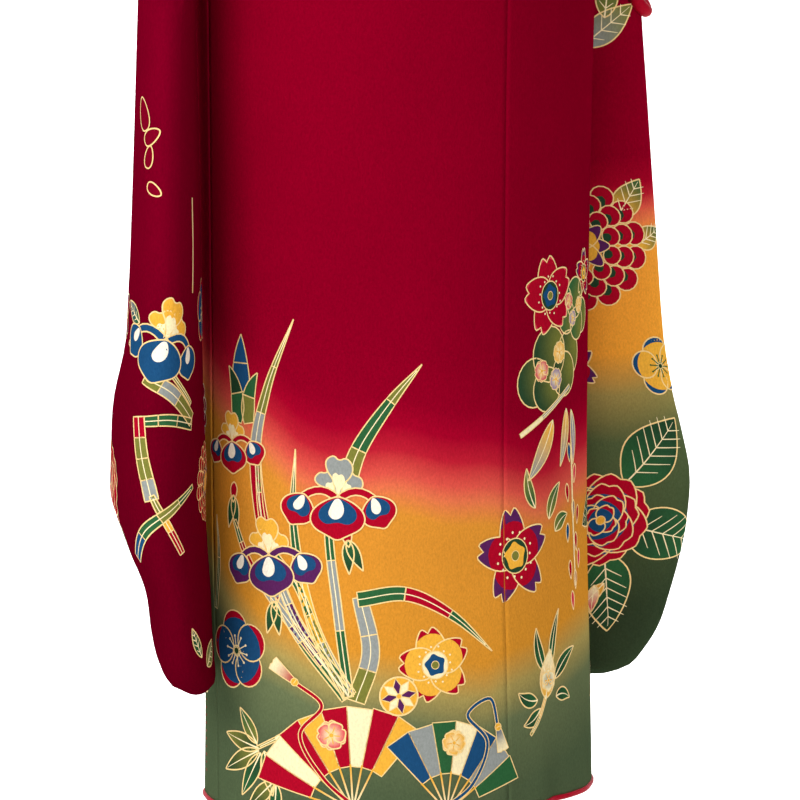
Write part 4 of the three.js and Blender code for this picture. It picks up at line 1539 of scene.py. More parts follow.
# The iris's parts by halves, from the base to the tip: x and y as shares of its size.
IRIS_FALL = ((0.06, 0.0), (0.3, 0.12), (0.5, 0.32), (0.56, 0.56), (0.46, 0.78), (0.2, 0.93))
IRIS_INSET = ((0.05, 0.04), (0.24, 0.16), (0.38, 0.34), (0.38, 0.54), (0.22, 0.68))
IRIS_FLAME = [(-0.05, 0.04), (0.06, 0.04), (0.14, 0.22), (0.2, 0.42), (0.08, 0.56), (-0.08, 0.5),
              (-0.14, 0.3)]
IRIS_FRILL = [(-0.06, 0.0), (0.06, 0.0), (0.1, 0.3), (0.3, 0.46), (0.36, 0.7), (0.2, 0.9),
              (0.02, 0.82), (-0.1, 0.96), (-0.3, 0.84), (-0.26, 0.6), (-0.1, 0.4)]


def mirrored(half: Shape, tip: float) -> Shape:
    """A whole outline from its right half and the height of its tip."""
    left = [(-x, y) for x, y in half]
    return [left[0], *half, (0.0, tip), *left[:0:-1]]


def leafy_iris(size: float, rim: Colour, core: Colour, curl: Colour) -> list[Patch]:
    """An iris from the side: broad hanging falls with pale flames and curled standards.

    Args:
        size: the flower's half width, nearly.
        rim, core: colours of the falls and of the shapes inside them.
        curl: colour of the standards.

    Returns:
        The shapes.
    """
    fall, inset = mirrored(IRIS_FALL, 1.06), mirrored(IRIS_INSET, 0.6)
    pale = CREAM if curl != CREAM else GREY

    def scaled(shape: Shape, wide: float, tall: float) -> Shape:
        """A part of the flower at its size, with soft corners."""
        return [(x * size * wide, y * size * tall) for x, y in rounded(shape)]

    def hanging(wide: float, tall: float, turn: float, x: float, y: float, lift: float) -> list[Patch]:
        """One hanging fall, with its inner shape and its flame."""
        return [flat(turned(scaled(part, wide, tall), turn, x, y), tint, lift + up, line)
                for part, tint, up, line in ((fall, rim, 0.0, 1.5), (inset, core, 0.06, 0),
                                             (IRIS_FLAME, WHITE, 0.12, 0))]

    parts = []
    for angle, tall, lift in ((30, 0.66, 0.0), (-30, 0.66, 0.0), (2, 0.9, 0.06)):
        parts.append(flat(turned(scaled(IRIS_FRILL, 0.86, tall), angle, 0, size * 0.04), curl, lift))
        parts.append(flat(turned(scaled(IRIS_FRILL, 0.4, tall * 0.6), angle, 0, size * 0.04), pale,
                          lift + 0.05, 0))
    for way in (1, -1):
        arm = bow((0, 0), (way * size * 0.7, size * 0.04), way * size * 0.16, 7)
        parts.append(flat(ribbon(arm, [size * 0.15] * 7), rim, 0.14))
        parts += hanging(0.66, 0.66, 180 + way * 24, way * size * 0.68, size * 0.08, 0.2)
    return parts + hanging(1.0, 0.84, 180, 0, size * 0.06, 0.38)


def blade(length: float, width: float, sag: float, tints: tuple[Colour, ...]) -> list[Patch]:
    """A long leaf that tapers to its tip, painted in blocks of colour."""
    path = bow((0, 0), (0, length), sag, 25)
    widths = [width * min(1.0, 0.72 + 1.2 * i / 24) * (1 - (i / 24) ** 3.2) + 0.3
              for i in range(25)]
    parts, step = [], 24 // len(tints)
    for k, tint in enumerate(tints):
        block = slice(k * step, (k + 1) * step + 1 if k < len(tints) - 1 else 25)
        parts.append(flat(ribbon(path[block], widths[block]), tint, 0.0, 1.3))
    return parts


def leaf(length: float, width: float, inner: Colour = GREEN, outer: Colour = MOSS,
         veins: int = 4, sag: float = 0.0) -> list[Patch]:
    """A pointed leaf with a midrib and side veins.

    Args:
        length, width: its size.
        inner, outer: colours at its foot and towards its tip.
        veins: number of veins on each side.
        sag: how far it bows to its left.

    Returns:
        The shapes.
    """
    path = bow((0, 0), (0, length), sag, 17)
    widths = [width * math.sin(math.pi * (i / 16) ** 0.8) ** 0.9 + 0.2 for i in range(17)]
    parts = [Patch(ribbon(path, widths), inner, outer),
             flat(ribbon(path[:16], [1.6 - 0.08 * i for i in range(16)]), CREAM, 0.1, 0)]
    for k in range(1, veins + 1):
        i = int(16 * k / (veins + 1.6)) + 1
        (x, y), reach = path[i], widths[i] * 0.42
        for way in (1, -1):
            vein = ribbon(bow((x, y), (x + way * reach, y + reach * 0.95), 0, 3), [1.0, 0.9, 0.5])
            parts.append(flat(vein, CREAM, 0.1, 0))
    return parts


def pine(size: float, tint: Colour, dark: Colour) -> list[Patch]:
    """A rounded pine cloud of overlapping lobes with small flowers on it."""
    lobes = [(-0.62, 0.0, 0.46), (0.62, 0.02, 0.44), (0.0, 0.3, 0.52), (-0.3, -0.28, 0.42),
             (0.34, -0.26, 0.42)]
    parts = [Patch(turned(disc(size * r, 22), 0, size * x, size * y), tint, dark, 0.02 * i)
             for i, (x, y, r) in enumerate(lobes)]
    for i, (x, y) in enumerate([(-0.35, 0.12), (0.3, 0.2), (0.02, -0.22)]):
        for part in blossom(size * 0.24, 5, (CREAM, (ROSE, GOLD_DYE, VIOLET)[i])):
            parts.append(Patch(turned(part.outline, 20 * i, size * x, size * y),
                               part.inner, part.outer, 0.14 + part.lift, part.line * 0.7))
    return parts


def fan(radius: float, tints: tuple[Colour, ...]) -> list[Patch]:
    """A folding fan: folds of paper on ribs that meet at a rivet."""
    parts = []
    for i, tint in enumerate(tints):
        a, b = (math.radians(116 * (j / len(tints) - 0.5)) for j in (i, i + 1))
        rim = 0.985 if i % 2 else 1.0
        fold = [(math.sin(t) * radius * r, math.cos(t) * radius * r)
                for t, r in ((b, 0.42), (b, rim), (a, 1.0), (a, 0.42))]
        parts.append(flat(fold, tint, 0.0, 1.2))
        foot = (math.sin(a) * radius * 0.44, math.cos(a) * radius * 0.44)
        parts.append(Patch(ribbon(bow((0, 0), foot, 0, 3), [1.6] * 3), CREAM, GOLD_DYE, 0.05, 0))
    parts.append(Patch(disc(radius * 0.05, 10), GOLD_DYE, RED, 0.1, 0.8))
    return parts


def tied_cord(path: Shape, tint: Colour, tassel: float = 26.0) -> list[Patch]:
    """A twisted cord that ends in a tassel.

    Args:
        path: places that the cord runs through.
        tint: its colour.
        tassel: the tassel's length.

    Returns:
        The shapes.
    """
    smooth = [tuple(curve([(*p, 0.0) for p in path], t / 40)[:2]) for t in range(41)]
    (ax, ay), (bx, by) = smooth[-2], smooth[-1]
    angle = math.degrees(math.atan2(-(bx - ax), by - ay))
    skirt = [(2.5, 0), (6.5, tassel), (2.2, tassel * 1.04), (0, tassel), (-2.2, tassel * 1.04),
             (-6.5, tassel), (-2.5, 0)]
    return [flat(ribbon(smooth, [3.4] * 41), tint, 0.2, 0.9),
            Patch(turned(skirt, angle, bx, by), tint, CREAM, 0.22, 1.0),
            dot(3.6, GOLD_DYE, 0.26, at=(bx, by))]


def ball(radius: float, tints: tuple[Colour, Colour, Colour]) -> list[Patch]:
    """A round ball of wound thread with a star of points."""
    point = [(0, 0), (radius * 0.22, radius * 0.5), (0, radius * 0.94), (-radius * 0.22, radius * 0.5)]
    parts = [dot(radius, tints[0], 0.0, 1.8, 30)]
    parts += [flat(turned(point, 45 * i), tints[1 + i % 2], 0.06 + 0.02 * (i % 2), 1.0)
              for i in range(8)]
    return [*parts, dot(radius * 0.14, GOLD_DYE, 0.14)]


# --- canvas

@dataclass(frozen=True)
class Motif:
    """A group of painted shapes, its place on a panel, its turn and how far it is lifted."""

    parts: list[Patch]
    along: float = 0.0
    z: float = 0.0
    turn: float = 0.0
    lift: float = 0.0


def body_place(along: float, z: float, extra: float) -> Point:
    """A point on the lower body's outer face."""
    side = Side.LEFT if along >= 0 else Side.RIGHT
    spot = clamp(along, -FORM.overlap_edge, FORM.overlap_edge)
    return FORM.point(z, spot, FORM.out((1.0, 0.0, 0.0), FORM.lap(z, spot), side) + extra)


@dataclass
class Canvas:
    """Motifs painted on one panel of cloth, with their resist lines."""

    name: str
    silks: Silks
    place: Callable[[float, float, float], Point]
    way: int = -1
    seams: tuple[float, ...] = ()
    grain: float = 5.0
    points: list[Point] = field(default_factory=list)
    colours: list[tuple[float, float, float, float]] = field(default_factory=list)
    faces: list[tuple[int, ...]] = field(default_factory=list)
    inks: list[int] = field(default_factory=list)

    def drop(self, along: float) -> float:
        """How far the paint sinks into a seam."""
        return sum(SEAM_DIP * math.exp(-(((along - seam) / SEAM_REACH) ** 2)) for seam in self.seams)

    def put(self, along: float, z: float, extra: float, tint: Colour) -> int:
        """Adds one point of paint and gives its number."""
        self.points.append(self.place(along, z, PAINT_LIFT + extra - self.drop(along)))
        self.colours.append((*tint, 1.0))
        return len(self.points) - 1

    def spread(self, outline: list[Vector]) -> tuple[list[Vector], list[list[int]]]:
        """Fills an outline with triangles small enough to follow the cloth.

        Args:
            outline: the corners, in order.

        Returns:
            All the points used, and the triangles between them.
        """
        count = len(outline)
        low = [min(p[k] for p in outline) for k in (0, 1)]
        high = [max(p[k] for p in outline) for k in (0, 1)]
        spots, edges = list(outline), []
        for j in range(1, int((high[1] - low[1]) / self.grain) + 1):
            shift = self.grain / 2 * (j % 2)
            for i in range(1, int((high[0] - low[0]) / self.grain) + 1):
                spots.append(Vector((low[0] + shift + (i - 0.5) * self.grain,
                                     low[1] + (j - 0.5) * self.grain)))
        for seam in self.seams:
            for near in (-1.3, -0.5, 0.0, 0.5, 1.3):
                if low[0] < seam + near < high[0]:
                    spots += [Vector((seam + near, low[1] - 1)), Vector((seam + near, high[1] + 1))]
                    edges.append((len(spots) - 2, len(spots) - 1))
        made = delaunay_2d_cdt(spots, edges, [list(range(count))], 1, 1e-5)
        return made[0], made[2]

    def trace(self, shape: Shape) -> list[Vector]:
        """An outline with no side longer than the grain."""
        outline = []
        for i, start in enumerate(shape):
            end = shape[(i + 1) % len(shape)]
            run = math.dist(start, end)
            steps = max(1, math.ceil(run / self.grain))
            outline += [Vector((mix(start[0], end[0], k / steps), mix(start[1], end[1], k / steps)))
                        for k in range(steps) if run > 0.02]
        return outline

    def paint(self, item: Motif) -> None:
        """Paints one motif.

        Args:
            item: the motif.
        """
        for part in item.parts:
            shape = turned(part.outline, item.turn)
            placed = [(item.along + self.way * x, item.z + y) for x, y in shape]
            outline = self.trace(placed)
            if len(outline) < 3:
                continue
            base = Vector(placed[0])
            reach = max(1e-6, max((p - base).length for p in outline))
            lift = item.lift + part.lift
            spots, fill = self.spread(outline)
            numbers = []
            for spot in spots:
                t = ease(clamp((spot - base).length / reach, 0, 1))
                tint = tuple(mix(a, b, t) for a, b in zip(part.inner, part.outer))
                numbers.append(self.put(spot.x, spot.y, lift, tint))
            self.faces += [tuple(numbers[i] for i in face[::self.way]) for face in fill]
            self.inks += [0] * len(fill)
            if part.line:
                self.draw(outline, part.line * LINE_SHARE, lift + LINE_LIFT)

    def draw(self, outline: list[Vector], width: float, lift: float) -> None:
        """Draws the resist line round an outline."""
        count, rails = len(outline), []
        turn = sum(a.x * b.y - b.x * a.y for a, b in zip(outline, outline[1:] + outline[:1]))
        way = self.way if turn > 0 else -self.way
        for i, spot in enumerate(outline):
            run = outline[(i + 1) % count] - outline[i - 1]
            size = max(1e-6, run.length)
            off = Vector((-run.y, run.x)) / size * width / 2
            rails.append([self.put(p.x, p.y, lift, CREAM) for p in (spot - off, spot + off)])
        for i in range(count):
            (a, b), (c, d) = rails[i], rails[(i + 1) % count]
            self.faces.append((a, b, d, c)[::-way])
            self.inks.append(1)

    def build(self, motifs: list[Motif]) -> Piece:
        """Paints all motifs as one piece.

        Args:
            motifs: what goes on the panel.

        Returns:
            The painted piece.
        """
        for item in motifs:
            self.paint(item)
        piece = mesh_object(self.name, np.array(self.points), self.faces,
                            [self.silks.of(PAINT), self.silks.of(GOLD)])
        piece.data.polygons.foreach_set("material_index", self.inks)
        layer = piece.data.color_attributes.new("paint", "FLOAT_COLOR", "POINT")
        layer.data.foreach_set("color", np.array(self.colours).ravel())
        hang(piece, [])
        return piece


def sheath(size: float, top: Colour) -> list[Patch]:
    """The small calyx and the two green bracts under an iris."""
    parts = [Patch(turned(petal(size * 0.6, size * 0.3, 0, 0.2), 180), top, RED)]
    for angle in (172, 196):
        parts.append(Patch(turned(petal(size, size * 0.34, 0, 0.3), angle, 0, -size * 0.4),
                           GREEN, MOSS, 0.04))
    return parts


def stalk(path: list[tuple[float, float]], wide: float, tints: tuple[Colour, ...],
          tip: float = 1.0) -> list[Patch]:
    """A stalk or long leaf through places on the panel, in blocks of colour.

    Args:
        path: places as distance round the body and height.
        wide: its width at the foot.
        tints: its colours from the foot to the tip.
        tip: width left at the tip, as a share.

    Returns:
        The shapes.
    """
    count = 12 * len(tints)
    smooth = [tuple(curve([(-a, z, 0.0) for a, z in path], t / count)[:2]) for t in range(count + 1)]
    widths = [wide * (tip + (1 - tip) * (1 - (t / count) ** 2.4)) + 0.2 for t in range(count + 1)]
    parts = []
    for k, tint in enumerate(tints):
        block = slice(12 * k, 12 * k + 13)
        parts.append(flat(ribbon(smooth[block], widths[block]), tint, 0, 1.3))
    return [*parts, flat(ribbon(smooth[:-2], [0.9] * (count - 1)), CREAM, 0.07, 0)]


# --- layout

def iris_clump() -> list[Motif]:
    """The clump of irises on the left of the back."""
    root = (152, 112)
    return [
        Motif(stalk([root, (196, 176), (228, 262), (234, 330)], 8, (GREEN, PURPLE, GREY, RED, OLIVE), 0.5)),
        Motif(stalk([root, (206, 190), (236, 318), (224, 380), (198, 444)], 15,
                    (GREEN, GREY, RED, GREY, OLIVE, OLIVE), 0.0)),
        Motif(stalk([root, (190, 160), (246, 230), (262, 262)], 8, (GREEN, PURPLE, GREY, RED, GREEN), 0.6)),
        Motif(stalk([root, (182, 176), (198, 262), (196, 330)], 11, (GREY, GOLD_DYE, GREEN, GREEN), 0.0)),
        Motif(stalk([root, (160, 190), (166, 270), (158, 300)], 8, (GREEN, GREY, GREEN, OLIVE), 0.7)),
        Motif(stalk([(150, 300), (140, 330), (112, 372), (84, 404)], 15, (OLIVE, GREEN, OLIVE), 0.0)),
        Motif(stalk([root, (174, 156), (196, 210), (216, 236)], 7, (OLIVE, GREEN), 0.8)),
        Motif(stalk([(146, 108), (132, 150), (140, 200)], 16, (OLIVE, GREY, GREY), 0.8)),
        Motif(stalk([(142, 198), (100, 202), (58, 182), (16, 146)], 13, (GREEN, RED, GREEN), 0.0), lift=0.1),
        Motif(stalk([(296, 180), (288, 226), (291, 264)], 6, (GREEN, MOSS), 0.0)),
        Motif(sheath(30, RED), 262, 296, -6), Motif(sheath(30, PURPLE), 216, 206, -8),
        Motif(sheath(30, RED), 152, 262, 10),
        Motif(leafy_iris(33, RED, BLUE, GOLD_DYE), 264, 330, 3, lift=0.3),
        Motif(leafy_iris(44, RED, BLUE, GREY), 158, 286, -2, lift=0.3),
        Motif(leafy_iris(42, PURPLE, BLUE, GOLD_DYE), 222, 232, 4, lift=0.34),
        Motif(blade(76, 24, 2, (GREEN, BLUE, BLUE)), 250, 352, 2, lift=0.1),
        Motif(blade(50, 16, -5, (GREEN, MOSS)), 258, 350, 12, lift=0.2),
        Motif(blade(46, 15, 5, (OLIVE, GREEN)), 243, 350, -12, lift=0.22),
    ]


def left_back() -> list[Motif]:
    """Motifs on the left half of the back."""
    return iris_clump() + [
        Motif(plum(36), 263, 146, 8),
        Motif(cherry(36, GOLD_DYE, RED, BLUE, CREAM, 0.8, 0.62), 74, 138, 12),
        *[Motif(leaf(*how, 0), a, z, t, lift=0.1) for a, z, t, *how in [
            (238, 62, 78, 44, 15, MOSS, OLIVE), (238, 60, 116, 50, 16, OLIVE, MOSS),
            (236, 58, 150, 46, 15, MOSS, GREEN), (232, 60, 192, 40, 14, GREEN, OLIVE),
            (240, 66, 34, 36, 13, OLIVE, GREEN), (222, 34, 132, 40, 14, OLIVE, MOSS),
            (220, 32, 176, 34, 12, GREEN, MOSS)]],
        Motif(stalk([(200, 84), (220, 72), (240, 62)], 3.4, (CREAM, OLIVE), 0.8), lift=0.16),
        Motif(fan(92, (RED, CREAM, RED, GOLD_DYE, RED, CREAM, RED, GOLD_DYE)), 150, 12, 17, lift=0.3),
        Motif(fan(80, (BLUE, GREY, GREEN, CREAM, BLUE, GREY, GREEN)), 66, 8, -16, lift=0.42),
        Motif(blossom(15, 5, (CREAM, ROSE), 0.18), 168, 78, 12, lift=0.5),
        Motif(blossom(13, 5, (CREAM, GOLD_DYE), 0.18), 58, 68, -12, lift=0.6),
        Motif(tied_cord([(-150, 16), (-176, 40), (-196, 78), (-176, 104), (-200, 124)], RED),
              lift=0.5),
        Motif(tied_cord([(-66, 12), (-40, 30), (-24, 66), (-44, 92), (-20, 104), (-12, 78)], BLUE, 22),
              lift=0.6),
        Motif(ball(17, (GOLD_DYE, PURPLE, CREAM)), 108, 112, 10, lift=0.5),
    ]


def right_back() -> list[Motif]:
    """Motifs from the centre-back seam to the right side."""
    drops = [Motif([flat(turned(petal(17, 7, 0, 0.2), 180), tint)], a, z, t)
             for a, z, t, tint in [(-96, 320, 8, BLUE), (-110, 300, -6, ROSE), (-92, 284, 10, RED),
                                   (-106, 268, 4, PURPLE), (-118, 262, -8, RED), (-94, 248, 0, BLUE),
                                   (-112, 238, 5, RED), (-120, 222, -5, ROSE), (-98, 214, 6, RED),
                                   (-110, 204, 0, RED), (-102, 186, 4, ROSE)]]
    leaves = [Motif(leaf(*how, 0, 3), a, z, t, lift=0.12) for a, z, t, *how in [
        (-66, 344, 145, 62, 17, GOLD_DYE, GREY), (-90, 352, 168, 52, 12, GOLD_DYE, GREY),
        (-100, 350, 186, 50, 10, GREY, VIOLET), (-40, 268, 18, 38, 12, GREEN, OLIVE),
        (-60, 256, -30, 36, 13, OLIVE, GREEN), (-70, 244, -60, 26, 14, OLIVE, GREEN),
        (-50, 120, 16, 42, 12, GREEN, MOSS), (-58, 120, -16, 56, 9, GREEN, MOSS),
        (-64, 112, -56, 44, 13, MOSS, GREEN), (-38, 96, 70, 26, 13, GREEN, MOSS),
        (-42, 88, 120, 26, 12, GREEN, MOSS), (-66, 96, -100, 24, 12, MOSS, GREEN)]]
    return [
        Motif(pine(48, OLIVE, MOSS), -66, 390, 20),
        Motif(pine(36, OLIVE, GREEN), -104, 440, -20),
        Motif(stalk([(-20, 334), (-50, 348), (-96, 372)], 4, (CREAM, GREY), 0.8), lift=0.2),
        Motif(cherry(38, RED, ROSE, BLUE, MOSS, 0.82, 0.8), -60, 456, 10, lift=0.1),
        Motif(cherry(24), -132, 470, 0),
        Motif(cherry(46), -13, 228, 8, lift=0.2),
        *leaves, *drops,
        Motif(stalk([(-100, 340), (-104, 280), (-110, 190)], 2.0, (GREY, GREY), 0.6)),
        Motif(leaf(44, 22, GOLD_DYE, CREAM, 0), -50, 96, -10, lift=0.2),
        Motif(blossom(11, 6, (GREY, CREAM), 0), -54, 112, 0, lift=0.3),
        Motif(stalk([(-50, 98), (-40, 80), (-28, 66)], 3.4, (GOLD_DYE, OLIVE), 0.7), lift=0.2),
        Motif(chrysanthemum(40), -215, 300, 0),
        Motif(leaf(60, 30), -190, 262, 110), Motif(leaf(54, 28, MOSS, GREEN), -240, 262, -120),
        Motif(peony(42), -232, 150, 15),
        Motif(leaf(58, 30), -200, 120, 130), Motif(leaf(50, 28, MOSS, GREEN), -262, 112, -140),
    ]


def front(side: Side) -> list[Motif]:
    """Motifs on one front, between the side seam and the overlap's seam."""
    s = side.value
    first = [
        Motif(peony(46), s * 420, 250, 10, lift=0.1),
        Motif(leaf(64, 34), s * 392, 214, 130),
        Motif(leaf(58, 30, MOSS, GREEN), s * 452, 214, -140),
        Motif(leaf(52, 28), s * 424, 296, 12),
        Motif(chrysanthemum(36), s * 350, 352, 0),
        Motif(leaf(50, 26, OLIVE, GREEN), s * 376, 322, 120),
        Motif(fan(78, (RED, CREAM, GOLD_DYE, RED, CREAM, GOLD_DYE)), s * 470, 40, -14, lift=0.3),
        Motif(plum(34), s * 352, 126, 12),
        Motif(blossom(28, 5, (CREAM, ROSE), 0.2), s * 500, 350, 0),
    ]
    second = [
        Motif(stalk([(s * 400, 60), (s * 392, 160), (s * 410, 270)], 12, (GREEN, GREY, RED, OLIVE), 0.1)),
        Motif(stalk([(s * 404, 60), (s * 430, 150), (s * 436, 220)], 8, (GREEN, OLIVE, GREEN), 0.7)),
        Motif(leafy_iris(42, PURPLE, BLUE, GREY), s * 436, 228, 2, lift=0.3),
        Motif(leafy_iris(38, RED, BLUE, GOLD_DYE), s * 366, 300, -4, lift=0.3),
        Motif(stalk([(s * 400, 60), (s * 372, 170), (s * 366, 290)], 8, (GREEN, GREY, OLIVE), 0.7)),
        Motif(pine(44, OLIVE, MOSS), s * 486, 350, 8),
        Motif(cherry(36), s * 350, 120, 16),
        Motif(ball(26, (GOLD_DYE, PURPLE, CREAM)), s * 490, 110, 6, lift=0.2),
    ]
    return first if side is Side.LEFT else second


def overlap_motifs(side: Side) -> list[Motif]:
    """Motifs on one overlap."""
    s = side.value
    return [
        Motif(chrysanthemum(44, (PURPLE, RED)), s * 622, 250, 0),
        Motif(leaf(58, 30), s * 600, 214, 130),
        Motif(leaf(54, 28, MOSS, GREEN), s * 646, 212, -140),
        Motif(cherry(36), s * 610, 110, 14),
        Motif(leafy_iris(38, RED, BLUE, GREY), s * 626, 372, 0, lift=0.2),
        Motif(sheath(28, RED), s * 626, 350, 0),
    ]


def left_sleeve_motifs() -> list[Motif]:
    """Motifs on the left sleeve, placed from its outer edge."""
    return [
        Motif([flat(turned(petal(n, n * 0.6, 0, -0.1), t, x, y), BERRY) for n, t, x, y in
               [(20, 165, 0, 10), (22, 120, 4, -12), (30, 200, 2, -22), (17, 60, -2, 24)]], -18, 590, 180),
        Motif(stalk([(-44, 552), (-46, 510), (-45, 470)], 1.6, (GOLD_DYE, GOLD_DYE), 0.8)),
        Motif(leafy_iris(44, BLUE, BLUE, GOLD_DYE), 4, 430, -16, lift=0.3),
        Motif(leaf(34, 15, GREEN, BLUE), -26, 446, 62), Motif(leaf(26, 11, OLIVE, GREEN), -28, 430, 100),
        Motif(stalk([(-48, 360), (-12, 388), (12, 400)], 13, (OLIVE, GREY, OLIVE), 0.8)),
        Motif(stalk([(-46, 374), (-12, 404), (0, 424)], 4, (OLIVE, GREY), 0.8)),
        Motif(stalk([(-48, 356), (-12, 363), (12, 362)], 10, (MOSS, GREEN, GREEN), 0.8)),
        Motif(stalk([(15, 366), (11, 330), (2, 294)], 12, (RED, OLIVE, OLIVE, GREY), 1.0), lift=0.1),
        Motif(stalk([(36, 240), (10, 268), (-18, 286), (-48, 302)], 10, (BLUE, GREEN, OLIVE, GREEN), 0.4),
              lift=0.3),
        Motif(stalk([(-20, 246), (-8, 276), (2, 298)], 7, (RED, GOLD_DYE, OLIVE), 0.6), lift=0.1),
        Motif(leaf(40, 16, OLIVE, GREEN), 34, 140, -60), Motif(leaf(30, 12), 26, 150, 20),
        Motif(peony(40), -92, 300, 10, lift=0.1),
        Motif(leaf(52, 28), -70, 262, 130), Motif(leaf(50, 26, MOSS, GREEN), -112, 258, -130),
        Motif(cherry(30), -88, 450, 8),
        Motif(chrysanthemum(36), 96, 300, 0),
        Motif(plum(28), 90, 450, 0),
    ]


def right_sleeve_motifs() -> list[Motif]:
    """Motifs on the right sleeve, placed from its outer edge."""
    return [
        Motif(leaf(62, 26, GREY, OLIVE), 62, 664, -52), Motif(leaf(46, 20, OLIVE, GREEN), 40, 690, -10),
        Motif(chrysanthemum(61), 76, 480, 0, lift=0.1),
        Motif(leaf(42, 26, GOLD_DYE, GREEN), 42, 506, -34),
        Motif(leaf(30, 22, GOLD_DYE, GREEN), 26, 480, -60),
        Motif(plum(27, GOLD_DYE, BLUE, GREEN), 13, 368, 10, lift=0.1),
        Motif(leaf(84, 46, GREEN, MOSS, 6), 70, 262, -46), Motif(leaf(88, 48, MOSS, GREEN, 6), 66, 224, -104),
        Motif(leaf(78, 42, GREEN, MOSS, 6), 78, 196, -160),
        Motif(peony(46, (BLUE, RED)), 88, 228, 12, lift=0.3),
        Motif(leaf(30, 12, GOLD_DYE, RED, 0), 70, 168, 150, lift=0.2),
        Motif(leaf(26, 10, CREAM, ROSE, 0), 78, 166, 190, lift=0.26),
        Motif(cherry(26), 96, 370, 20),
        Motif(peony(38), -90, 280, 10, lift=0.1),
        Motif(leaf(50, 28), -66, 246, -130), Motif(leaf(50, 26, MOSS, GREEN), -112, 240, 130),
        Motif(blossom(30, 5, (CREAM, RED), 0.2), -80, 430, 8),
        Motif(plum(24), -70, 560, 0),
    ]


# --- stage and camera

@dataclass
class Studio:
    """A white sweep, soft lights and the camera."""

    floor_z: float = -1.42
    azimuth: float = 140.0
    distance: float = 5.5
    eye_z: float = -0.330
    looks_at: tuple[float, float, float] = (0.0, 0.0, -0.975)
    lens: float = 277.0
    wall_at: float = 3.6
    sky: float = 0.42

    def sweep(self) -> Piece:
        """Builds the pale floor that curves up behind the garment."""
        toward = self.toward()
        side = Vector((-toward.y, toward.x, 0))
        profile = [(7.0, 0.0), (0.0, 0.0), (-2.4, 0.0), (-2.9, 0.08), (-3.3, 0.3), (-3.55, 0.7),
                   (-3.65, 1.3), (-3.7, 5.5)]
        points = []
        for run, rise in profile:
            for reach in (-6, 6):
                spot = toward * run + side * reach
                points.append((spot.x, spot.y, self.floor_z + rise))
        mesh = bpy.data.meshes.new("studio_sweep")
        mesh.from_pydata(points, [], grid_faces(len(profile), 2))
        mesh.polygons.foreach_set("use_smooth", [True] * len(mesh.polygons))
        paper = bpy.data.materials.new("studio_paper")
        paper.use_nodes = True
        shader = paper.node_tree.nodes["Principled BSDF"]
        shader.inputs["Base Color"].default_value = (0.92, 0.92, 0.92, 1)
        shader.inputs["Roughness"].default_value = 0.9
        nodes = paper.node_tree.nodes
        behind, clear, blend = (nodes.new(kind) for kind in (
            "ShaderNodeNewGeometry", "ShaderNodeBsdfTransparent", "ShaderNodeMixShader"))
        for start, end in ((behind.outputs["Backfacing"], blend.inputs[0]),
                           (shader.outputs[0], blend.inputs[1]), (clear.outputs[0], blend.inputs[2]),
                           (blend.outputs[0], nodes["Material Output"].inputs["Surface"])):
            paper.node_tree.links.new(start, end)
        mesh.materials.append(paper)
        piece = show("studio_sweep", mesh)
        return piece

    def toward(self) -> Vector:
        """The level direction from the garment to the camera."""
        angle = math.radians(self.azimuth)
        return Vector((math.sin(angle), -math.cos(angle), 0))

    def lamp(self, name: str, turn: float, height: float, away: float, power: float,
             size: float, target: tuple[float, float, float] = (0, 0, -0.9)) -> None:
        """A soft square lamp that looks at a point.

        Args:
            name: the lamp's name.
            turn: where it stands round the garment, in degrees from the camera.
            height: its height in the row frame.
            away: level distance from the garment.
            power: its power in watts.
            size: its side in metres.
            target: the point it looks at.
        """
        data = bpy.data.lights.new(name, "AREA")
        data.energy, data.size = power, size
        lamp = show(name, data)
        lamp.visible_camera = False
        angle = math.radians(self.azimuth + turn)
        lamp.location = (math.sin(angle) * away, -math.cos(angle) * away, height)
        aim(lamp, target)

    def light(self) -> None:
        """Sets the world, the key, the fill and the lamps that keep the paper white."""
        world = bpy.data.worlds.new("studio_world")
        world.use_nodes = True
        backdrop = world.node_tree.nodes["Background"]
        backdrop.inputs["Color"].default_value = (1, 1, 1, 1)
        backdrop.inputs["Strength"].default_value = self.sky
        bpy.context.scene.world = world
        wall = self.toward() * -self.wall_at
        self.lamp("key_lamp", turn=-34, height=0.9, away=3.0, power=67, size=1.5)
        self.lamp("fill_lamp", turn=2, height=0.2, away=3.6, power=46, size=1.6)
        self.lamp("wall_lamp", turn=180, height=0.6, away=0.9, power=120, size=2.4,
                  target=(wall.x, wall.y, -1.0))
        self.lamp("floor_lamp", turn=180, height=1.6, away=1.6, power=60, size=2.4,
                  target=(wall.x / 2, wall.y / 2, -1.4))

    def camera(self) -> None:
        """Builds the camera and makes it the scene's own."""
        data = bpy.data.cameras.new("camera")
        data.lens, data.sensor_width = self.lens, 36.0
        camera = show("camera", data)
        camera.location = self.toward() * self.distance + Vector((0, 0, self.eye_z))
        aim(camera, self.looks_at)
        bpy.context.scene.camera = camera

    def build(self) -> None:
        """Builds the whole studio."""
        self.sweep()
        self.light()
        self.camera()
        bpy.context.scene.view_settings.view_transform = "Standard"


# --- assembly

LEFT_BAG = SleeveForm(Side.LEFT, LEFT_SLEEVE, cuff_low=728.0)
RIGHT_BAG = SleeveForm(Side.RIGHT, RIGHT_SLEEVE, cuff_low=704.0)


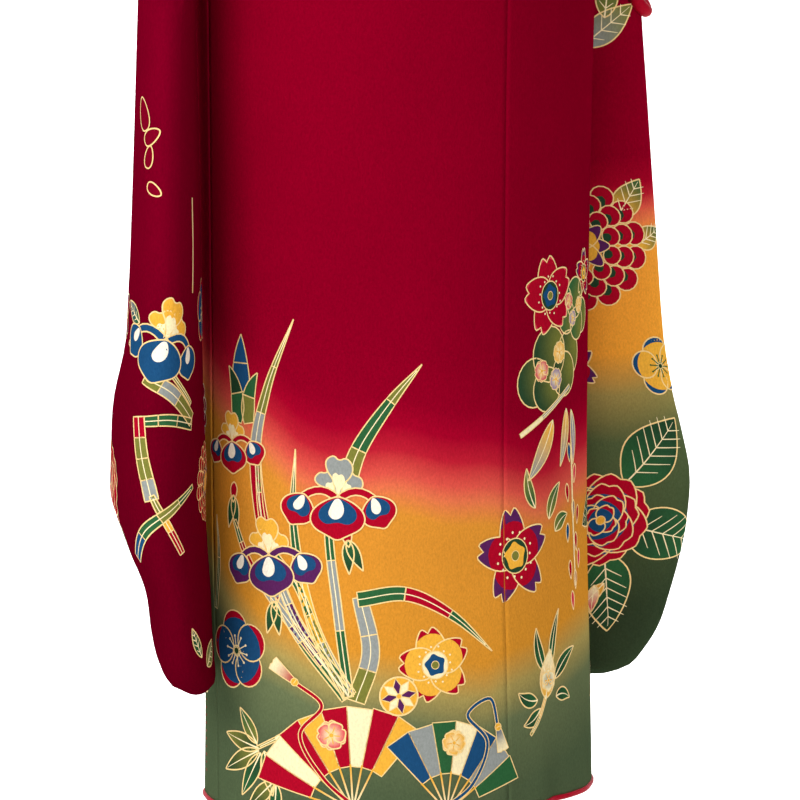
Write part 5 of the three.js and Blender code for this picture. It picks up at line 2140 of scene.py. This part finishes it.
def panels(silks: Silks) -> list[tuple[object, Canvas | None, list[Motif]]]:
    """Every piece of cloth, with the canvas and motifs that go on it."""
    work = []
    for side, back in ((Side.LEFT, left_back()), (Side.RIGHT, right_back())):
        # The right length takes the darker ground, which is painted shade.
        finish, seams = (GROUND, ()) if side is Side.LEFT else (PAINTED_SHADE_GROUND, (0.0,))
        work.append((Panel(BodyLength(side), silks, "body", finish),
                     Canvas(f"paint_body_{side.word}", silks, body_place, seams=seams),
                     back + front(side)))
        work.append((Panel(Overlap(side), silks, "overlap", GROUND),
                     Canvas(f"paint_overlap_{side.word}", silks, body_place), overlap_motifs(side)))
    # The left sleeve's red carries painted shade towards its foot and the body.
    work.append((Sleeve(LEFT_BAG, silks, WINE, left_sleeve_painted_shade),
                 Canvas("paint_sleeve_left", silks, LEFT_BAG.place, way=1, grain=3.0),
                 left_sleeve_motifs()))
    # The right sleeve's ground carries painted light in its reds and yellows.
    work.append((Sleeve(RIGHT_BAG, silks, SLEEVE_GROUND_WITH_PAINTED_LIGHT, right_sleeve_dye),
                 Canvas("paint_sleeve_right", silks, RIGHT_BAG.place, grain=3.0),
                 right_sleeve_motifs()))
    return work


@dataclass(frozen=True)
class Cut:
    """The flat size of the cloth that shows in one piece, in metres."""

    name: str
    width: float
    length: float
    area: float
    held: str = "hung"
    rests_on: tuple[str, ...] = ()

    def declare(self, piece: Piece, extras: list[Piece]) -> None:
        """Takes a piece and what is painted or rolled on it, and does nothing with them."""


CUTS = (Cut("cloth_body_left", 0.30, 3.10, 0.845), Cut("cloth_body_right", 0.30, 3.10, 0.845),
        Cut("cloth_overlap_left", 0.15, 1.36, 0.188), Cut("cloth_overlap_right", 0.15, 1.36, 0.188),
        Cut("cloth_sleeve_left", 0.34, 1.06, 0.352), Cut("cloth_sleeve_right", 0.34, 1.06, 0.352),
        Cut("collar_band", 0.045, 1.10, 0.0487),
        Cut("waist_tie_cloth", 0.046, 1.01, 0.0455, "stretched", ("cloth_body_left", "cloth_body_right")))


def main() -> None:
    """Builds the garment piece by piece, then the studio."""
    logging.basicConfig(level=logging.INFO, format="%(message)s")
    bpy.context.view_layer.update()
    silks = Silks()
    cloth, extras = {}, {}
    for maker, canvas, motifs in panels(silks):
        piece = maker.build()
        painted = canvas.build(motifs)
        cloth[piece.name], extras[piece.name] = piece, [painted]
        LOG.info("%s: %d points, %s: %d faces", piece.name, len(piece.data.vertices),
                 painted.name, len(painted.data.polygons))
    for maker in (Collar(silks), WaistTie(silks)):
        piece = maker.build()
        cloth[piece.name], extras[piece.name] = piece, []
        LOG.info("%s: %d points", piece.name, len(piece.data.vertices))
    for host, maker in (("cloth_body_left", SeamAllowance(silks)),
                        ("cloth_body_left", HemRoll(Side.LEFT, silks)),
                        ("cloth_body_right", HemRoll(Side.RIGHT, silks)),
                        ("cloth_sleeve_left", CuffRoll(LEFT_BAG, silks)),
                        ("cloth_sleeve_right", CuffRoll(RIGHT_BAG, silks, swell=9.0))):
        piece = maker.build()
        extras[host].append(piece)
        LOG.info("%s: %d points", piece.name, len(piece.data.vertices))
    for maker in sewing(silks):
        piece = maker.build()
        LOG.info("%s: %d faces", piece.name, len(piece.data.polygons))
    for cut in CUTS:
        cut.declare(cloth[cut.name], extras[cut.name])
    Studio().build()


if __name__ == "__main__":
    main()
